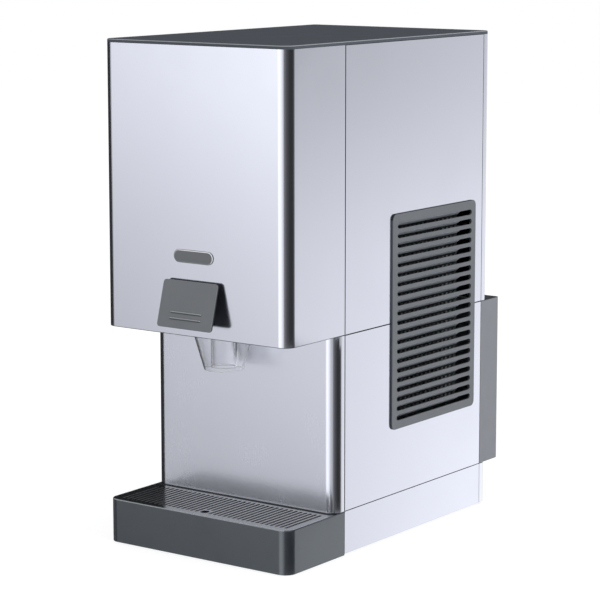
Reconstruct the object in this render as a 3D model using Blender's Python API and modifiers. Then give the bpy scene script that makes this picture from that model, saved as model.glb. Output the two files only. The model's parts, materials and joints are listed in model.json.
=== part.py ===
"""Countertop ice dispenser: an ice maker over a bin, with a push flap, a clear spout and a drip tray.

Metres, +Z up. The origin is the centre of the footprint, on the counter. The front faces -Y.
Sizes called back are measured from the front plane of the head, towards the rear.
"""
import math

import bmesh
import bpy
from mathutils import Euler, Matrix, Vector

# Body: overall sizes, seams and sheet
body_width = 0.350
half_width = body_width / 2
overall_depth = 0.595
cover_projection = 0.042
rear_return = 0.017
base_top_z = 0.070
head_bottom_z = 0.344
lid_seat_z = 0.782
lid_thickness = 0.005
side_seam_back = 0.146
rear_face_back = overall_depth - cover_projection
rear_seam_back = rear_face_back - rear_return
splash_back = 0.120
skirt_bottom_z = 0.003
front_corner_radius = 0.018
rear_corner_radius = 0.008
sheet = 0.0012
seam_gap = 0.0008
fit_gap = 0.0003
overrun = 0.010
weld_distance = 0.000005
corner_steps = 6

# Top lid
lid_lip_height = 0.008
lid_lip_wall = 0.0025
lid_lip_play = 0.0006
lid_edge_radius = 0.0012

# Base pan and feet
pan_floor_z = 0.0055
pan_floor_sheet = 0.0012
pan_tongue_inset = 0.015
pan_tongue_back = 0.012
foot_front_inset = 0.045
foot_rear_inset = 0.030
foot_rear_seam_gap = 0.036
foot_radius = 0.015
foot_waist_radius = 0.0125
foot_front_x = half_width - foot_front_inset
foot_front_back = 0.045
foot_rear_x = half_width - foot_rear_inset
foot_rear_back = rear_seam_back - foot_rear_seam_gap

# Drip tray and grille
tray_bottom_z = 0.001
tray_wall = 0.003
tray_floor_z = 0.009
tray_floor_thickness = 0.003
tray_rim_gap = 0.0004
basin_inset = 0.008
basin_corner_radius = 0.010
tray_rear_wall_back = 0.123
grille_top_drop = 0.0010
grille_thickness = 0.0025
grille_play = 0.0004
grille_rear_back = 0.1195
slot_pitch = 0.009
slot_width = 0.0045
slot_field_inset = 0.0175
slot_front_back = 0.015
slot_rear_back = 0.109
finger_hole_radius = 0.007
finger_hole_back = 0.0225
finger_hole_land = 0.004

# Drain
drain_z = 0.0225
drain_pipe_radius = 0.007
drain_pipe_bore = 0.0055
drain_hole_play = 0.0005
drain_flange_radius = 0.013
drain_flange_thickness = 0.004
drain_spigot_length = 0.020
drain_barb_radius = 0.0085

# Side air grilles
air_front_back = 0.2705
air_seam_gap = 0.024
air_rear_back = rear_seam_back - air_seam_gap
air_bottom_z = 0.174
air_top_z = 0.515
air_raise = 0.003
air_corner_radius = 0.009
air_edge_radius = 0.0010
air_lap = 0.008
louvre_pitch = 0.0152
louvre_slot_height = 0.0088
louvre_top_margin = 0.0192
louvre_top_z = air_top_z - louvre_top_margin
louvre_front_margin = 0.0125
louvre_rear_margin = 0.012
louvre_slot_front_back = air_front_back + louvre_front_margin
louvre_slot_rear_back = air_rear_back - louvre_rear_margin
louvre_count = 21
blade_reach = 0.0135
blade_drop = 0.0105
blade_thickness = 0.0014
blade_rear_gap = 0.028
blade_rear_back = louvre_slot_rear_back - blade_rear_gap
blade_root_depth = 0.0014
blade_root_rise = 0.0012

# Dispense flap, in its own frame: down from the pin's axis and out from it
flap_axis_back = -0.0025
flap_axis_z = 0.4193
flap_rest_angle = math.radians(15.3)
flap_width = 0.104
flap_length = 0.0725
flap_thickness = 0.003
flap_corner_radius = 0.005
flap_edge_radius = 0.0008
flap_above_axis = 0.009
flap_plate_out = 0.0042
rib_width = 0.059
rib_radius = 0.0014
rib_downs = (0.0400, 0.0495)
lug_thickness = 0.005
lug_radius = 0.004
pin_radius = 0.002
pin_bore = 0.0023
presser_down = 0.030
presser_half_width = 0.004
presser_half_height = 0.003
presser_length = 0.018

# Flap spring
spring_wire = 0.0004
spring_turns = 5
spring_pitch = 0.0013
spring_steps = 6
spring_leg = 0.026
spring_rear_leg = 0.006

# Flap bracket and its opening in the head panel
opening_half_width = 0.036
opening_bottom_z = 0.378
opening_top_z = 0.424
bracket_half_width = 0.048
bracket_bottom_z = 0.370
bracket_top_z = 0.436
bracket_sheet = 0.002
bracket_window_bottom_z = 0.379
bracket_window_top_z = 0.425
ear_inner_x = 0.031
ear_thickness = 0.002
ear_radius = 0.004
ear_root_drop = 0.012
ear_root_back = 0.0025
pin_overhang = 0.0015
shelf_rear_back = 0.037
tab_front_back = 0.019
tab_bottom_z = 0.385

# Microswitch and its lever
switch_width = 0.010
switch_depth = 0.016
switch_height = 0.028
switch_front_back = 0.0180
switch_bottom_z = 0.387
lever_axis_back = 0.0162
lever_axis_z = 0.411
lever_rest_angle = math.radians(18.9)
lever_length = 0.030
lever_thickness = 0.0008
lever_barrel_radius = 0.0011
lever_half_width = 0.0031
switch_lug_front_back = 0.0152
switch_lug_half_height = 0.002

# Spout and ice tube
spout_back = 0.072
spout_bottom_z = 0.284
spout_bottom_radius = 0.0305
spout_top_radius = 0.0477
spout_wall = 0.0025
spout_flange_radius = 0.058
spout_flange_thickness = 0.0027
spout_hole_play = 0.0008
tube_radius = 0.020
tube_wall = 0.0022
tube_bottom_z = 0.288
tube_collar_radius = 0.0255
tube_collar_thickness = 0.0027
tube_above_collar = 0.0055
turn_steps = 20

# Ice bin and its shelf
shelf_thickness = 0.003
bin_side_gap = 0.025
bin_half_width = half_width - bin_side_gap
bin_front_back = 0.042
bin_rear_gap = 0.012
bin_top_gap = 0.001
bin_wall = 0.010
hopper_shoulder_share = 0.1935
trough_radius = 0.036
auger_axis_z = 0.404
tube_hole_play = 0.0004

# Auger, its bush and gearmotor
auger_shaft_radius = 0.006
auger_flight_radius = 0.031
auger_flight_root = 0.0045
auger_flight_thickness = 0.003
auger_pitch = 0.062
auger_turns = 2
auger_flight_front_back = 0.105
auger_steps = 12
shaft_play = 0.0004
bush_radius = 0.011
bush_flange_radius = 0.016
bush_flange_thickness = 0.003
gearbox_half_width = 0.038
gearbox_depth = 0.030
gearbox_drop = 0.045
gearbox_rise = 0.032
gearmotor_radius = 0.024
gearmotor_length = 0.048

# Bulkhead, deck and posts
bulkhead_back = 0.262
bulkhead_sheet = 0.002
ice_maker_height = 0.186
deck_z = lid_seat_z - ice_maker_height
deck_sheet = 0.002
bulkhead_half_width = half_width - sheet - fit_gap
bin_rear_back = bulkhead_back - bin_rear_gap
bin_top_z = deck_z - bin_top_gap
post_flange = 0.0015
post_depth = 0.022
post_front_back = 0.140
post_seam_gap = 0.014
post_rear_back = rear_seam_back - post_seam_gap
post_width = 0.0145
post_top_gap = 0.010
post_top_z = lid_seat_z - post_top_gap

# Compressor
compressor_side_gap = 0.115
compressor_x = compressor_side_gap - half_width
compressor_fan_offset = 0.009
compressor_radius = 0.064
drain_compressor_gap = 0.019
drain_x = compressor_x + compressor_radius + drain_pipe_radius + drain_compressor_gap
compressor_body_z = 0.028
compressor_top_z = 0.190
compressor_dome = 0.030
compressor_plate_half_x = 0.075
compressor_plate_half_y = 0.060
compressor_plate_z = 0.018
compressor_plate_thickness = 0.004
grommet_radius = 0.009
compressor_foot_x = 0.064
compressor_foot_y = 0.048

# Condenser, fan and shroud
shroud_inset = 0.047
shroud_x = half_width - shroud_inset
shroud_sheet = 0.002
shroud_front_back = 0.285
shroud_seam_gap = 0.039
shroud_rear_back = rear_seam_back - shroud_seam_gap
shroud_deck_gap = 0.089
shroud_top_z = deck_z - shroud_deck_gap
shroud_hole_margin = 0.012
shroud_hole_radius = (shroud_rear_back - shroud_front_back) / 2 - shroud_hole_margin
fan_axis_back = (shroud_front_back + shroud_rear_back) / 2
fan_axis_drop = 0.162
fan_axis_z = shroud_top_z - fan_axis_drop
compressor_back = fan_axis_back + compressor_fan_offset
shroud_ring_depth = 0.012
shroud_ring_wall = 0.002
fan_tip_gap = 0.008
fan_radius = shroud_hole_radius - fan_tip_gap
fan_hub_radius = 0.022
fan_hub_length = 0.016
fan_shroud_gap = 0.015
fan_x = shroud_x - fan_shroud_gap
fan_blade_thickness = 0.0025
fan_blade_width = 0.052
fan_blade_angle = math.radians(28)
fan_blade_count = 5
motor_radius = 0.030
motor_shroud_gap = 0.068
motor_x = shroud_x - motor_shroud_gap
motor_length = 0.038
motor_arm_width = 0.010
motor_arm_sheet = 0.003
motor_arm_lap = 0.008
motor_arm_reach = shroud_hole_radius + motor_arm_lap
motor_shaft_radius = 0.004
condenser_depth = 0.024
condenser_shroud_margin = 0.005
condenser_front_back = shroud_front_back + condenser_shroud_margin
condenser_rear_back = shroud_rear_back - condenser_shroud_margin
condenser_bottom_z = 0.195
condenser_top_drop = 0.009
condenser_top_z = shroud_top_z - condenser_top_drop
fin_pitch = 0.0120
fin_groove = 0.0065
fin_groove_depth = 0.008

# Filter drier and refrigerant lines
drier_radius = 0.012
drier_clip_gap = 0.0005
drier_x = shroud_x - drier_radius - drier_clip_gap
drier_shroud_offset = 0.045
drier_back = shroud_front_back + drier_shroud_offset
drier_neck_radius = 0.005
drier_bottom_z = 0.070
drier_length = 0.090
line_radius = 0.004
suction_side_gap = 0.037
suction_x = suction_side_gap - half_width

# Electric box
electric_half_width = 0.026
electric_side_gap = 0.023
electric_x = electric_side_gap + electric_half_width - half_width
electric_line_gap = 0.008
electric_depth = compressor_back - bulkhead_back - electric_line_gap
electric_bottom_z = 0.250
electric_top_z = 0.400
electric_edge = 0.003

# Spray chamber and what stands in it
chamber_side_gap = 0.045
chamber_half_width = half_width - chamber_side_gap
chamber_front_back = 0.268
chamber_post_gap = 0.017
chamber_rear_back = post_rear_back - chamber_post_gap
chamber_wall = 0.004
chamber_height = 0.094
chamber_top_z = deck_z + chamber_height
window_left_margin = 0.042
window_right_margin = 0.008
window_left_x = window_left_margin - chamber_half_width
window_right_x = chamber_half_width - window_right_margin
window_sill_height = 0.038
window_bottom_z = deck_z + window_sill_height
slide_thickness = 0.002
slide_front_reach = 0.012
slide_front_back = chamber_front_back - slide_front_reach
slide_rear_gap = 0.002
slide_rear_back = chamber_rear_back - chamber_wall - slide_rear_gap
slide_angle = math.radians(8)
slide_slot_pitch = 0.018
slide_slot_width = 0.009
slide_slot_end = 0.014
slide_side_play = 0.0004
slide_ledge_depth = 0.010
slide_ledge_thickness = 0.003
spray_x = (window_left_x + window_right_x) / 2
spray_deck_height = 0.015
spray_z = deck_z + spray_deck_height
spray_radius = 0.008
spray_end_gap = 0.0005
spray_rear_gap = 0.0035
spray_front_back = chamber_front_back + chamber_wall + spray_end_gap
spray_rear_back = chamber_rear_back - chamber_wall - spray_rear_gap
nozzle_radius = 0.0045
nozzle_height = 0.014
nozzle_count = 4
pump_back = (compressor_back + post_rear_back - post_width) / 2
pump_radius = 0.017
pump_base_radius = 0.021
pump_base_height = 0.014
pump_height = 0.075

# Evaporator and its coil
evaporator_flange = 0.0025
evaporator_height = 0.032
evaporator_top_z = chamber_top_z + evaporator_height
evaporator_front_margin = 0.008
evaporator_rear_margin = 0.009
evaporator_front_back = chamber_front_back + evaporator_front_margin
evaporator_rear_back = chamber_rear_back - evaporator_rear_margin
cup_columns = 4
cup_rows = 4
cup_wall = 0.004
cup_depth = 0.027
cup_taper_share = 0.80
coil_radius = 0.004
coil_pass_count = 5
coil_margin = 0.022

# Ice curtain
curtain_reach = 0.0052
curtain_axis_back = chamber_front_back - curtain_reach
curtain_axis_drop = 0.007
curtain_axis_z = chamber_top_z - curtain_axis_drop
curtain_barrel_radius = 0.003
curtain_pin_radius = 0.002
curtain_thickness = 0.002
curtain_length = 0.041
curtain_lug_thickness = 0.004
curtain_lug_half_height = 0.005
curtain_side_play = 0.002
curtain_pin_play = 0.0003

# Float valve
float_side_gap = 0.022
float_x = float_side_gap - chamber_half_width
float_wall_gap = 0.023
float_axis_back = chamber_rear_back - float_wall_gap
float_axis_drop = 0.035
float_axis_z = chamber_top_z - float_axis_drop
float_arm_length = 0.058
float_arm_radius = 0.0018
float_radius = 0.013
float_height = 0.018
float_drop = 0.010
float_barrel_radius = 0.003
float_fork_inner = 0.004
float_fork_sheet = 0.002
float_body_radius = 0.007

# Services at the rear
inlet_side_gap = 0.075
inlet_x = inlet_side_gap - half_width
inlet_z = 0.038
inlet_thread_radius = 0.0130
inlet_bore = 0.0085
inlet_protrusion = 0.016
inlet_body_half = 0.016
inlet_body_depth = 0.030
inlet_coil_radius = 0.012
inlet_coil_height = 0.010
gland_side_gap = 0.065
gland_x = half_width - gland_side_gap
gland_z = 0.038
gland_thread_radius = 0.0080
gland_hex_radius = 0.0125
gland_hex_length = 0.006
gland_dome_length = 0.009
gland_bore = 0.0042
gland_nut_length = 0.004
service_hole_play = 0.0004

# Rear cover
cover_wall = 0.0025
cover_corner_radius = 0.0075
cover_edge_radius = 0.0020

flap_reach = ((flap_length - flap_above_axis - flap_edge_radius) * math.sin(flap_rest_angle)
              + (flap_plate_out + flap_thickness) * math.cos(flap_rest_angle) - flap_axis_back)
front_y = -(overall_depth - flap_reach) / 2
rear_y = front_y + overall_depth

# Paints: colour, roughness, metallic
steel_paint = ((0.62, 0.63, 0.66), 0.22, 1.0)
plated_paint = ((0.55, 0.56, 0.57), 0.38, 1.0)
lid_paint = ((0.082, 0.093, 0.107), 0.35, 0.0)
tray_paint = ((0.085, 0.094, 0.105), 0.38, 0.0)
grille_paint = ((0.105, 0.115, 0.130), 0.30, 0.0)
air_paint = ((0.175, 0.188, 0.205), 0.45, 0.0)
flap_paint = ((0.155, 0.168, 0.180), 0.42, 0.0)
cover_paint = ((0.28, 0.29, 0.32), 0.50, 0.0)
clear_paint = ((0.80, 0.84, 0.88), 0.08, 0.0)
white_paint = ((0.78, 0.79, 0.79), 0.45, 0.0)
black_paint = ((0.025, 0.026, 0.028), 0.50, 0.0)
rubber_paint = ((0.020, 0.020, 0.021), 0.80, 0.0)
copper_paint = ((0.72, 0.36, 0.22), 0.30, 1.0)
tin_paint = ((0.70, 0.70, 0.69), 0.25, 1.0)


def back(distance):
    """World Y of a place measured back from the front plane of the head."""
    return front_y + distance


def new_collection(name):
    group = bpy.data.collections.new(name)
    bpy.context.scene.collection.children.link(group)
    return group


for old in list(bpy.data.objects):
    bpy.data.objects.remove(old)
parts = new_collection("countertop_ice_dispenser")
cutters = new_collection("cutters")


def put(name, mesh, paint=None):
    """A node when it has a paint, otherwise a cutter or a lump that another object takes in."""
    thing = bpy.data.objects.new(name, mesh)
    if paint is None:
        cutters.objects.link(thing)
        thing.hide_render = True
        thing.display_type = "WIRE"
        return thing
    parts.objects.link(thing)
    colour, roughness, metallic = paint
    material = bpy.data.materials.new(name)
    material.use_nodes = True
    shader = material.node_tree.nodes["Principled BSDF"]
    shader.inputs["Base Color"].default_value = (*colour, 1.0)
    shader.inputs["Roughness"].default_value = roughness
    shader.inputs["Metallic"].default_value = metallic
    mesh.materials.append(material)
    return thing


def combine(thing, other, operation):
    step = thing.modifiers.new(operation.lower(), "BOOLEAN")
    step.operation = operation
    step.solver = "EXACT"
    step.object = other
    return thing


def cut(thing, *others):
    for other in others:
        combine(thing, other, "DIFFERENCE")
    return thing


def join(thing, *others):
    for other in others:
        combine(thing, other, "UNION")
    return thing


def round_edges(thing, radius, steps=2, by_weight=False):
    step = thing.modifiers.new("rounded edges", "BEVEL")
    step.width = radius
    step.segments = steps
    step.limit_method = "WEIGHT" if by_weight else "ANGLE"
    return thing


def smooth(thing):
    thing.data.shade_smooth()
    thing.data.set_sharp_from_angle(angle=math.radians(35))
    return thing


def box(name, low, high, paint=None):
    """Block between two corners."""
    form = bmesh.new()
    size = [top - bottom for bottom, top in zip(low, high)]
    centre = [(top + bottom) / 2 for bottom, top in zip(low, high)]
    place = Matrix.Translation(centre) @ Matrix.Diagonal((*size, 1))
    bmesh.ops.create_cube(form, size=1, matrix=place)
    mesh = bpy.data.meshes.new(name)
    form.to_mesh(mesh)
    form.free()
    return put(name, mesh, paint)


def cylinder(name, radius, start, end, steps=24, paint=None):
    """Round bar between two points."""
    start = Vector(start)
    end = Vector(end)
    run = end - start
    form = bmesh.new()
    place = Matrix.Translation((start + end) / 2) @ run.to_track_quat("Z", "Y").to_matrix().to_4x4()
    bmesh.ops.create_cone(form, cap_ends=True, segments=steps, radius1=radius, radius2=radius,
                          depth=run.length, matrix=place)
    mesh = bpy.data.meshes.new(name)
    form.to_mesh(mesh)
    form.free()
    return smooth(put(name, mesh, paint))


def arc(centre, radius, start, end, steps):
    """Points on an arc, angles in degrees."""
    points = []
    for step in range(steps + 1):
        angle = math.radians(start + (end - start) * step / steps)
        points.append((centre[0] + radius * math.cos(angle), centre[1] + radius * math.sin(angle)))
    return points


def rounded_rectangle(low, high, front_radius, rear_radius, steps=corner_steps):
    """Outline with one radius on its two low corners and another on its two high ones."""
    (left, near), (right, far) = low, high
    points = []
    for centre_x, centre_y, radius, turn in (
            (right - rear_radius, far - rear_radius, rear_radius, 0),
            (left + rear_radius, far - rear_radius, rear_radius, 90),
            (left + front_radius, near + front_radius, front_radius, 180),
            (right - front_radius, near + front_radius, front_radius, 270)):
        if radius:
            points += arc((centre_x, centre_y), radius, turn, turn + 90, steps)
        else:
            points.append((centre_x, centre_y))
    return points


def slot(start, end, width, steps=3):
    """Outline of a straight slot with round ends, between its two end centres."""
    angle = math.degrees(math.atan2(end[1] - start[1], end[0] - start[0]))
    return (arc(end, width / 2, angle - 90, angle + 90, steps)
            + arc(start, width / 2, angle + 90, angle + 270, steps))


def circle(centre, radius, steps=24):
    return arc(centre, radius, 0, 360 - 360 / steps, steps - 1)


def mesh_of(curve_object):
    """Mesh of a curve object in world space, its caps welded on."""
    bpy.context.view_layer.update()
    graph = bpy.context.evaluated_depsgraph_get()
    mesh = bpy.data.meshes.new_from_object(curve_object.evaluated_get(graph))
    mesh.transform(curve_object.matrix_world)
    form = bmesh.new()
    form.from_mesh(mesh)
    bmesh.ops.remove_doubles(form, verts=form.verts, dist=weld_distance)
    bmesh.ops.recalc_face_normals(form, faces=form.faces)
    form.to_mesh(mesh)
    form.free()
    curve = curve_object.data
    bpy.data.objects.remove(curve_object)
    bpy.data.curves.remove(curve)
    return mesh


# An outline is filled while turned, because a fill leaves slivers between points at one height
fill_turn = Matrix.Rotation(math.radians(31), 4, "Z")

# Where a flat outline's own x, y and thickness point
facing_turns = {
    "up": (0, 0, 0),
    "front": (math.radians(90), 0, 0),
    "side": (math.radians(90), 0, math.radians(90)),
}


def plate(name, loops, low, high, facing="up", paint=None):
    """Flat sheet between two levels. The first loop is its border and the others are its holes."""
    curve = bpy.data.curves.new(name, "CURVE")
    curve.dimensions = "2D"
    curve.fill_mode = "BOTH"
    curve.extrude = (high - low) / 2
    for loop in loops:
        spline = curve.splines.new("POLY")
        spline.points.add(len(loop) - 1)
        for point, (across, along) in zip(spline.points, loop):
            point.co = fill_turn @ Vector((across, along, 0, 1))
        spline.use_cyclic_u = True
    flat = bpy.data.objects.new(name, curve)
    bpy.context.scene.collection.objects.link(flat)
    turn = Euler(facing_turns[facing]).to_matrix() @ fill_turn.to_3x3().inverted()
    flat.rotation_euler = turn.to_euler()
    middle = (low + high) / 2
    flat.location = {"up": (0, 0, middle), "front": (0, middle, 0), "side": (middle, 0, 0)}[facing]
    return put(name, mesh_of(flat), paint)


def wrap(name, path, low_z, high_z, paint):
    """Sheet bent along a path in plan. The path runs anticlockwise and is the outer face."""
    form = bmesh.new()
    foot = [form.verts.new((x, y, low_z)) for x, y in path]
    head = [form.verts.new((x, y, high_z)) for x, y in path]
    for index in range(len(path) - 1):
        form.faces.new((foot[index], foot[index + 1], head[index + 1], head[index]))
    mesh = bpy.data.meshes.new(name)
    form.to_mesh(mesh)
    form.free()
    thing = put(name, mesh, paint)
    step = thing.modifiers.new("sheet", "SOLIDIFY")
    step.thickness = sheet
    step.offset = -1
    step.use_even_offset = True
    return smooth(thing)


def turned(name, profile, closed, steps=turn_steps, paint=None):
    """Profile of (radius, height) points turned about Z; it runs down on its outer side."""
    form = bmesh.new()
    points = [form.verts.new((radius, 0, height)) for radius, height in profile]
    pairs = list(zip(points, points[1:]))
    if closed:
        pairs.append((points[-1], points[0]))
    for pair in pairs:
        form.edges.new(pair)
    mesh = bpy.data.meshes.new(name)
    form.to_mesh(mesh)
    form.free()
    thing = put(name, mesh, paint)
    step = thing.modifiers.new("turned", "SCREW")
    step.axis = "Z"
    step.steps = steps
    step.render_steps = steps
    step.use_merge_vertices = True
    step.merge_threshold = weld_distance
    step.use_smooth_shade = False
    return thing


def tube(name, points, radius, paint=None, sides=2):
    """Round wire or pipe through points, its ends capped."""
    curve = bpy.data.curves.new(name, "CURVE")
    curve.dimensions = "3D"
    curve.bevel_depth = radius
    curve.bevel_resolution = sides
    curve.use_fill_caps = True
    spline = curve.splines.new("POLY")
    spline.points.add(len(points) - 1)
    for point, place in zip(spline.points, points):
        point.co = (*place, 1)
    wire = bpy.data.objects.new(name, curve)
    bpy.context.scene.collection.objects.link(wire)
    return put(name, mesh_of(wire), paint)


def bend(before, corner, after, radius, steps=4):
    """Points that round one corner of a pipe's route."""
    before, corner, after = Vector(before), Vector(corner), Vector(after)
    way_in = (before - corner).normalized()
    way_out = (after - corner).normalized()
    points = []
    for step in range(steps + 1):
        share = step / steps
        first = corner + way_in * radius * (1 - share)
        second = corner + way_out * radius * share
        points.append(first.lerp(second, share))
    return points


def route(points, radius):
    """Route of a pipe with each inner corner rounded."""
    way = [Vector(points[0])]
    for before, corner, after in zip(points, points[1:], points[2:]):
        way += bend(before, corner, after, radius)
    way.append(Vector(points[-1]))
    return way


def lay(thing, axis, centre):
    """Turn something made about Z onto another axis, and move it to its centre."""
    thing.rotation_euler = {"X": (0, math.radians(90), 0), "-Y": (math.radians(90), 0, 0),
                            "Y": (math.radians(-90), 0, 0), "Z": (0, 0, 0)}[axis]
    thing.location = centre
    return thing


def front_path(face_back, end_back, radius):
    """Plan of a sheet round the front: left side, two corners, right side."""
    face = back(face_back)
    left = arc((-half_width + radius, face + radius), radius, 180, 270, corner_steps)
    right = arc((half_width - radius, face + radius), radius, 270, 360, corner_steps)
    return [(-half_width, back(end_back))] + left + right + [(half_width, back(end_back))]


def rear_path(start_back, face_back, radius):
    """Plan of a sheet round the rear: right side, two corners, left side."""
    face = back(face_back)
    right = arc((half_width - radius, face - radius), radius, 0, 90, corner_steps)
    left = arc((-half_width + radius, face - radius), radius, 90, 180, corner_steps)
    return [(half_width, back(start_back))] + right + left + [(-half_width, back(start_back))]


seam_front = side_seam_back - seam_gap / 2
seam_behind = side_seam_back + seam_gap / 2
rear_seam_front = rear_seam_back - seam_gap / 2
rear_seam_behind = rear_seam_back + seam_gap / 2
panel_top_z = lid_seat_z - fit_gap


# Steel casings

def head_front_panel():
    panel = wrap("head_front_panel", front_path(0, seam_front, front_corner_radius),
                 head_bottom_z, panel_top_z, steel_paint)
    opening = box("flap opening", (-opening_half_width, back(-overrun), opening_bottom_z),
                  (opening_half_width, back(overrun), opening_top_z))
    return cut(panel, opening)


def head_underside_panel():
    edge = half_width - sheet - fit_gap
    near = back(sheet + fit_gap)
    radius = front_corner_radius - sheet - fit_gap
    border = rounded_rectangle((-edge, near), (edge, back(post_front_back - fit_gap)), radius, 0)
    hole = circle((0, back(spout_back)), spout_top_radius + spout_hole_play, turn_steps)
    return plate("head_underside_panel", [border, hole], head_bottom_z + fit_gap,
                 head_bottom_z + fit_gap + sheet, "up", steel_paint)


def splash_panel():
    return wrap("splash_panel", front_path(splash_back, seam_front, front_corner_radius),
                base_top_z + seam_gap / 2, head_bottom_z - seam_gap / 2, steel_paint)


def side_panel(name, side, low_z, high_z, notch_low, notch_high):
    """Flat side sheet with a notch in its upper or lower edge, behind the air grille."""
    front, rear = back(seam_behind), back(rear_seam_front)
    notch_front = back(air_front_back + air_lap)
    notch_rear = back(air_rear_back - air_lap)
    if notch_low is None:
        border = [(front, low_z), (rear, low_z), (rear, high_z), (notch_rear, high_z),
                  (notch_rear, notch_high), (notch_front, notch_high), (notch_front, high_z),
                  (front, high_z)]
    else:
        border = [(front, low_z), (notch_front, low_z), (notch_front, notch_low),
                  (notch_rear, notch_low), (notch_rear, low_z), (rear, low_z), (rear, high_z),
                  (front, high_z)]
    levels = sorted((side * half_width, side * (half_width - sheet)))
    return plate(name, [border], levels[0], levels[1], "side", steel_paint)


def side_panels():
    for word, side in (("right", 1), ("left", -1)):
        side_panel(word + "_upper_side_panel", side, head_bottom_z + seam_gap / 2, panel_top_z,
                   air_top_z - air_lap, None)
        side_panel(word + "_lower_side_panel", side, base_top_z + seam_gap / 2,
                   head_bottom_z - seam_gap / 2, None, air_bottom_z + air_lap)


def upper_rear_panel():
    return wrap("upper_rear_panel", rear_path(rear_seam_behind, rear_face_back, rear_corner_radius),
                head_bottom_z + seam_gap / 2, panel_top_z, steel_paint)


def base_rear_panel():
    panel = wrap("base_rear_panel", rear_path(rear_seam_behind, rear_face_back, rear_corner_radius),
                 skirt_bottom_z, base_top_z - seam_gap / 2, steel_paint)
    for name, x, z, radius in (("drain hole", drain_x, drain_z, drain_pipe_radius + drain_hole_play),
                               ("inlet hole", inlet_x, inlet_z, inlet_thread_radius + service_hole_play),
                               ("gland hole", gland_x, gland_z, gland_thread_radius + service_hole_play)):
        cut(panel, cylinder(name, radius, (x, back(rear_face_back - overrun), z),
                            (x, back(rear_face_back + overrun), z), 16))
    return panel


def base_pan():
    """Floor with a tongue under the drip tray, and an upturned skirt along each side."""
    wide = half_width - sheet / 2
    front, rear = back(seam_behind), back(rear_seam_front)
    tongue = back(pan_tongue_back)
    tongue_x = half_width - pan_tongue_inset
    inside = half_width - sheet - fit_gap
    far = back(rear_face_back - sheet - fit_gap)
    half = [(tongue_x, tongue), (tongue_x, front + sheet),
            (wide, front + 4 * sheet), (wide, rear - 4 * sheet),
            (inside - rear_corner_radius, rear - sheet), (inside - rear_corner_radius, far)]
    border = half + [(-x, y) for x, y in reversed(half)]
    floor = plate("base_pan", [border], pan_floor_z, pan_floor_z + pan_floor_sheet, "up", steel_paint)
    for side in (-1, 1):
        xs = sorted((side * half_width, side * (half_width - sheet)))
        join(floor, box("skirt", (xs[0], front, skirt_bottom_z),
                        (xs[1], rear, base_top_z - seam_gap / 2)))
    return floor


def feet():
    top = pan_floor_z - fit_gap
    profile = [(0, top), (foot_waist_radius, top), (foot_radius, top / 3), (foot_radius, 0), (0, 0)]
    for name, x, place in (("front_left_foot", -foot_front_x, foot_front_back),
                           ("front_right_foot", foot_front_x, foot_front_back),
                           ("rear_left_foot", -foot_rear_x, foot_rear_back),
                           ("rear_right_foot", foot_rear_x, foot_rear_back)):
        foot = turned(name, profile, False, 16, rubber_paint)
        foot.location = (x, back(place), 0)


def top_lid():
    border = rounded_rectangle((-half_width, back(0)), (half_width, back(rear_face_back)),
                               front_corner_radius, rear_corner_radius)
    lid = plate("top_lid", [border], lid_seat_z, lid_seat_z + lid_thickness, "up", lid_paint)
    mark_level(lid, lid_seat_z + lid_thickness)
    round_edges(lid, lid_edge_radius, 1, True)
    inset = sheet + lid_lip_play
    outer = rounded_rectangle((-half_width + inset, back(inset)),
                              (half_width - inset, back(rear_face_back - inset)),
                              front_corner_radius - inset, rear_corner_radius - inset, 3)
    inset = inset + lid_lip_wall
    inner = rounded_rectangle((-half_width + inset, back(inset)),
                              (half_width - inset, back(rear_face_back - inset)),
                              front_corner_radius - inset, rear_corner_radius - inset, 3)
    lip = plate("lid lip", [outer, inner], lid_seat_z - lid_lip_height,
                lid_seat_z + lid_thickness / 2)
    return join(lid, lip)


def mark_level(thing, level, axis=2):
    """Give full bevel weight to the sharp edges that lie in one plane."""
    mesh = thing.data
    weights = mesh.attributes.new("bevel_weight_edge", "FLOAT", "EDGE")
    border = {}
    for face in mesh.polygons:
        for key in face.edge_keys:
            border.setdefault(key, []).append(face.normal.copy())
    for edge in mesh.edges:
        ends = [mesh.vertices[index].co[axis] for index in edge.vertices]
        flat = all(abs(end - level) < weld_distance for end in ends)
        normals = border.get(edge.key, [])
        sharp = len(normals) == 2 and normals[0].dot(normals[1]) < math.cos(math.radians(30))
        weights.data[edge.index].value = 1.0 if flat and sharp else 0.0


def rear_cover():
    border = rounded_rectangle((-half_width, back(rear_seam_behind)), (half_width, rear_y),
                               0, cover_corner_radius)
    low, high = base_top_z + seam_gap / 2, head_bottom_z - seam_gap / 2
    cover = plate("rear_cover", [border], low, high, "up", cover_paint)
    inside = rounded_rectangle((-half_width + cover_wall, back(rear_seam_behind - overrun)),
                               (half_width - cover_wall, rear_y - cover_wall), 0,
                               cover_corner_radius - cover_wall)
    hollow = plate("cover hollow", [inside], low + cover_wall, high - cover_wall)
    mark_level(cover, high)
    round_edges(cover, cover_edge_radius, 2, True)
    return cut(cover, hollow)


# Drip tray

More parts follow.
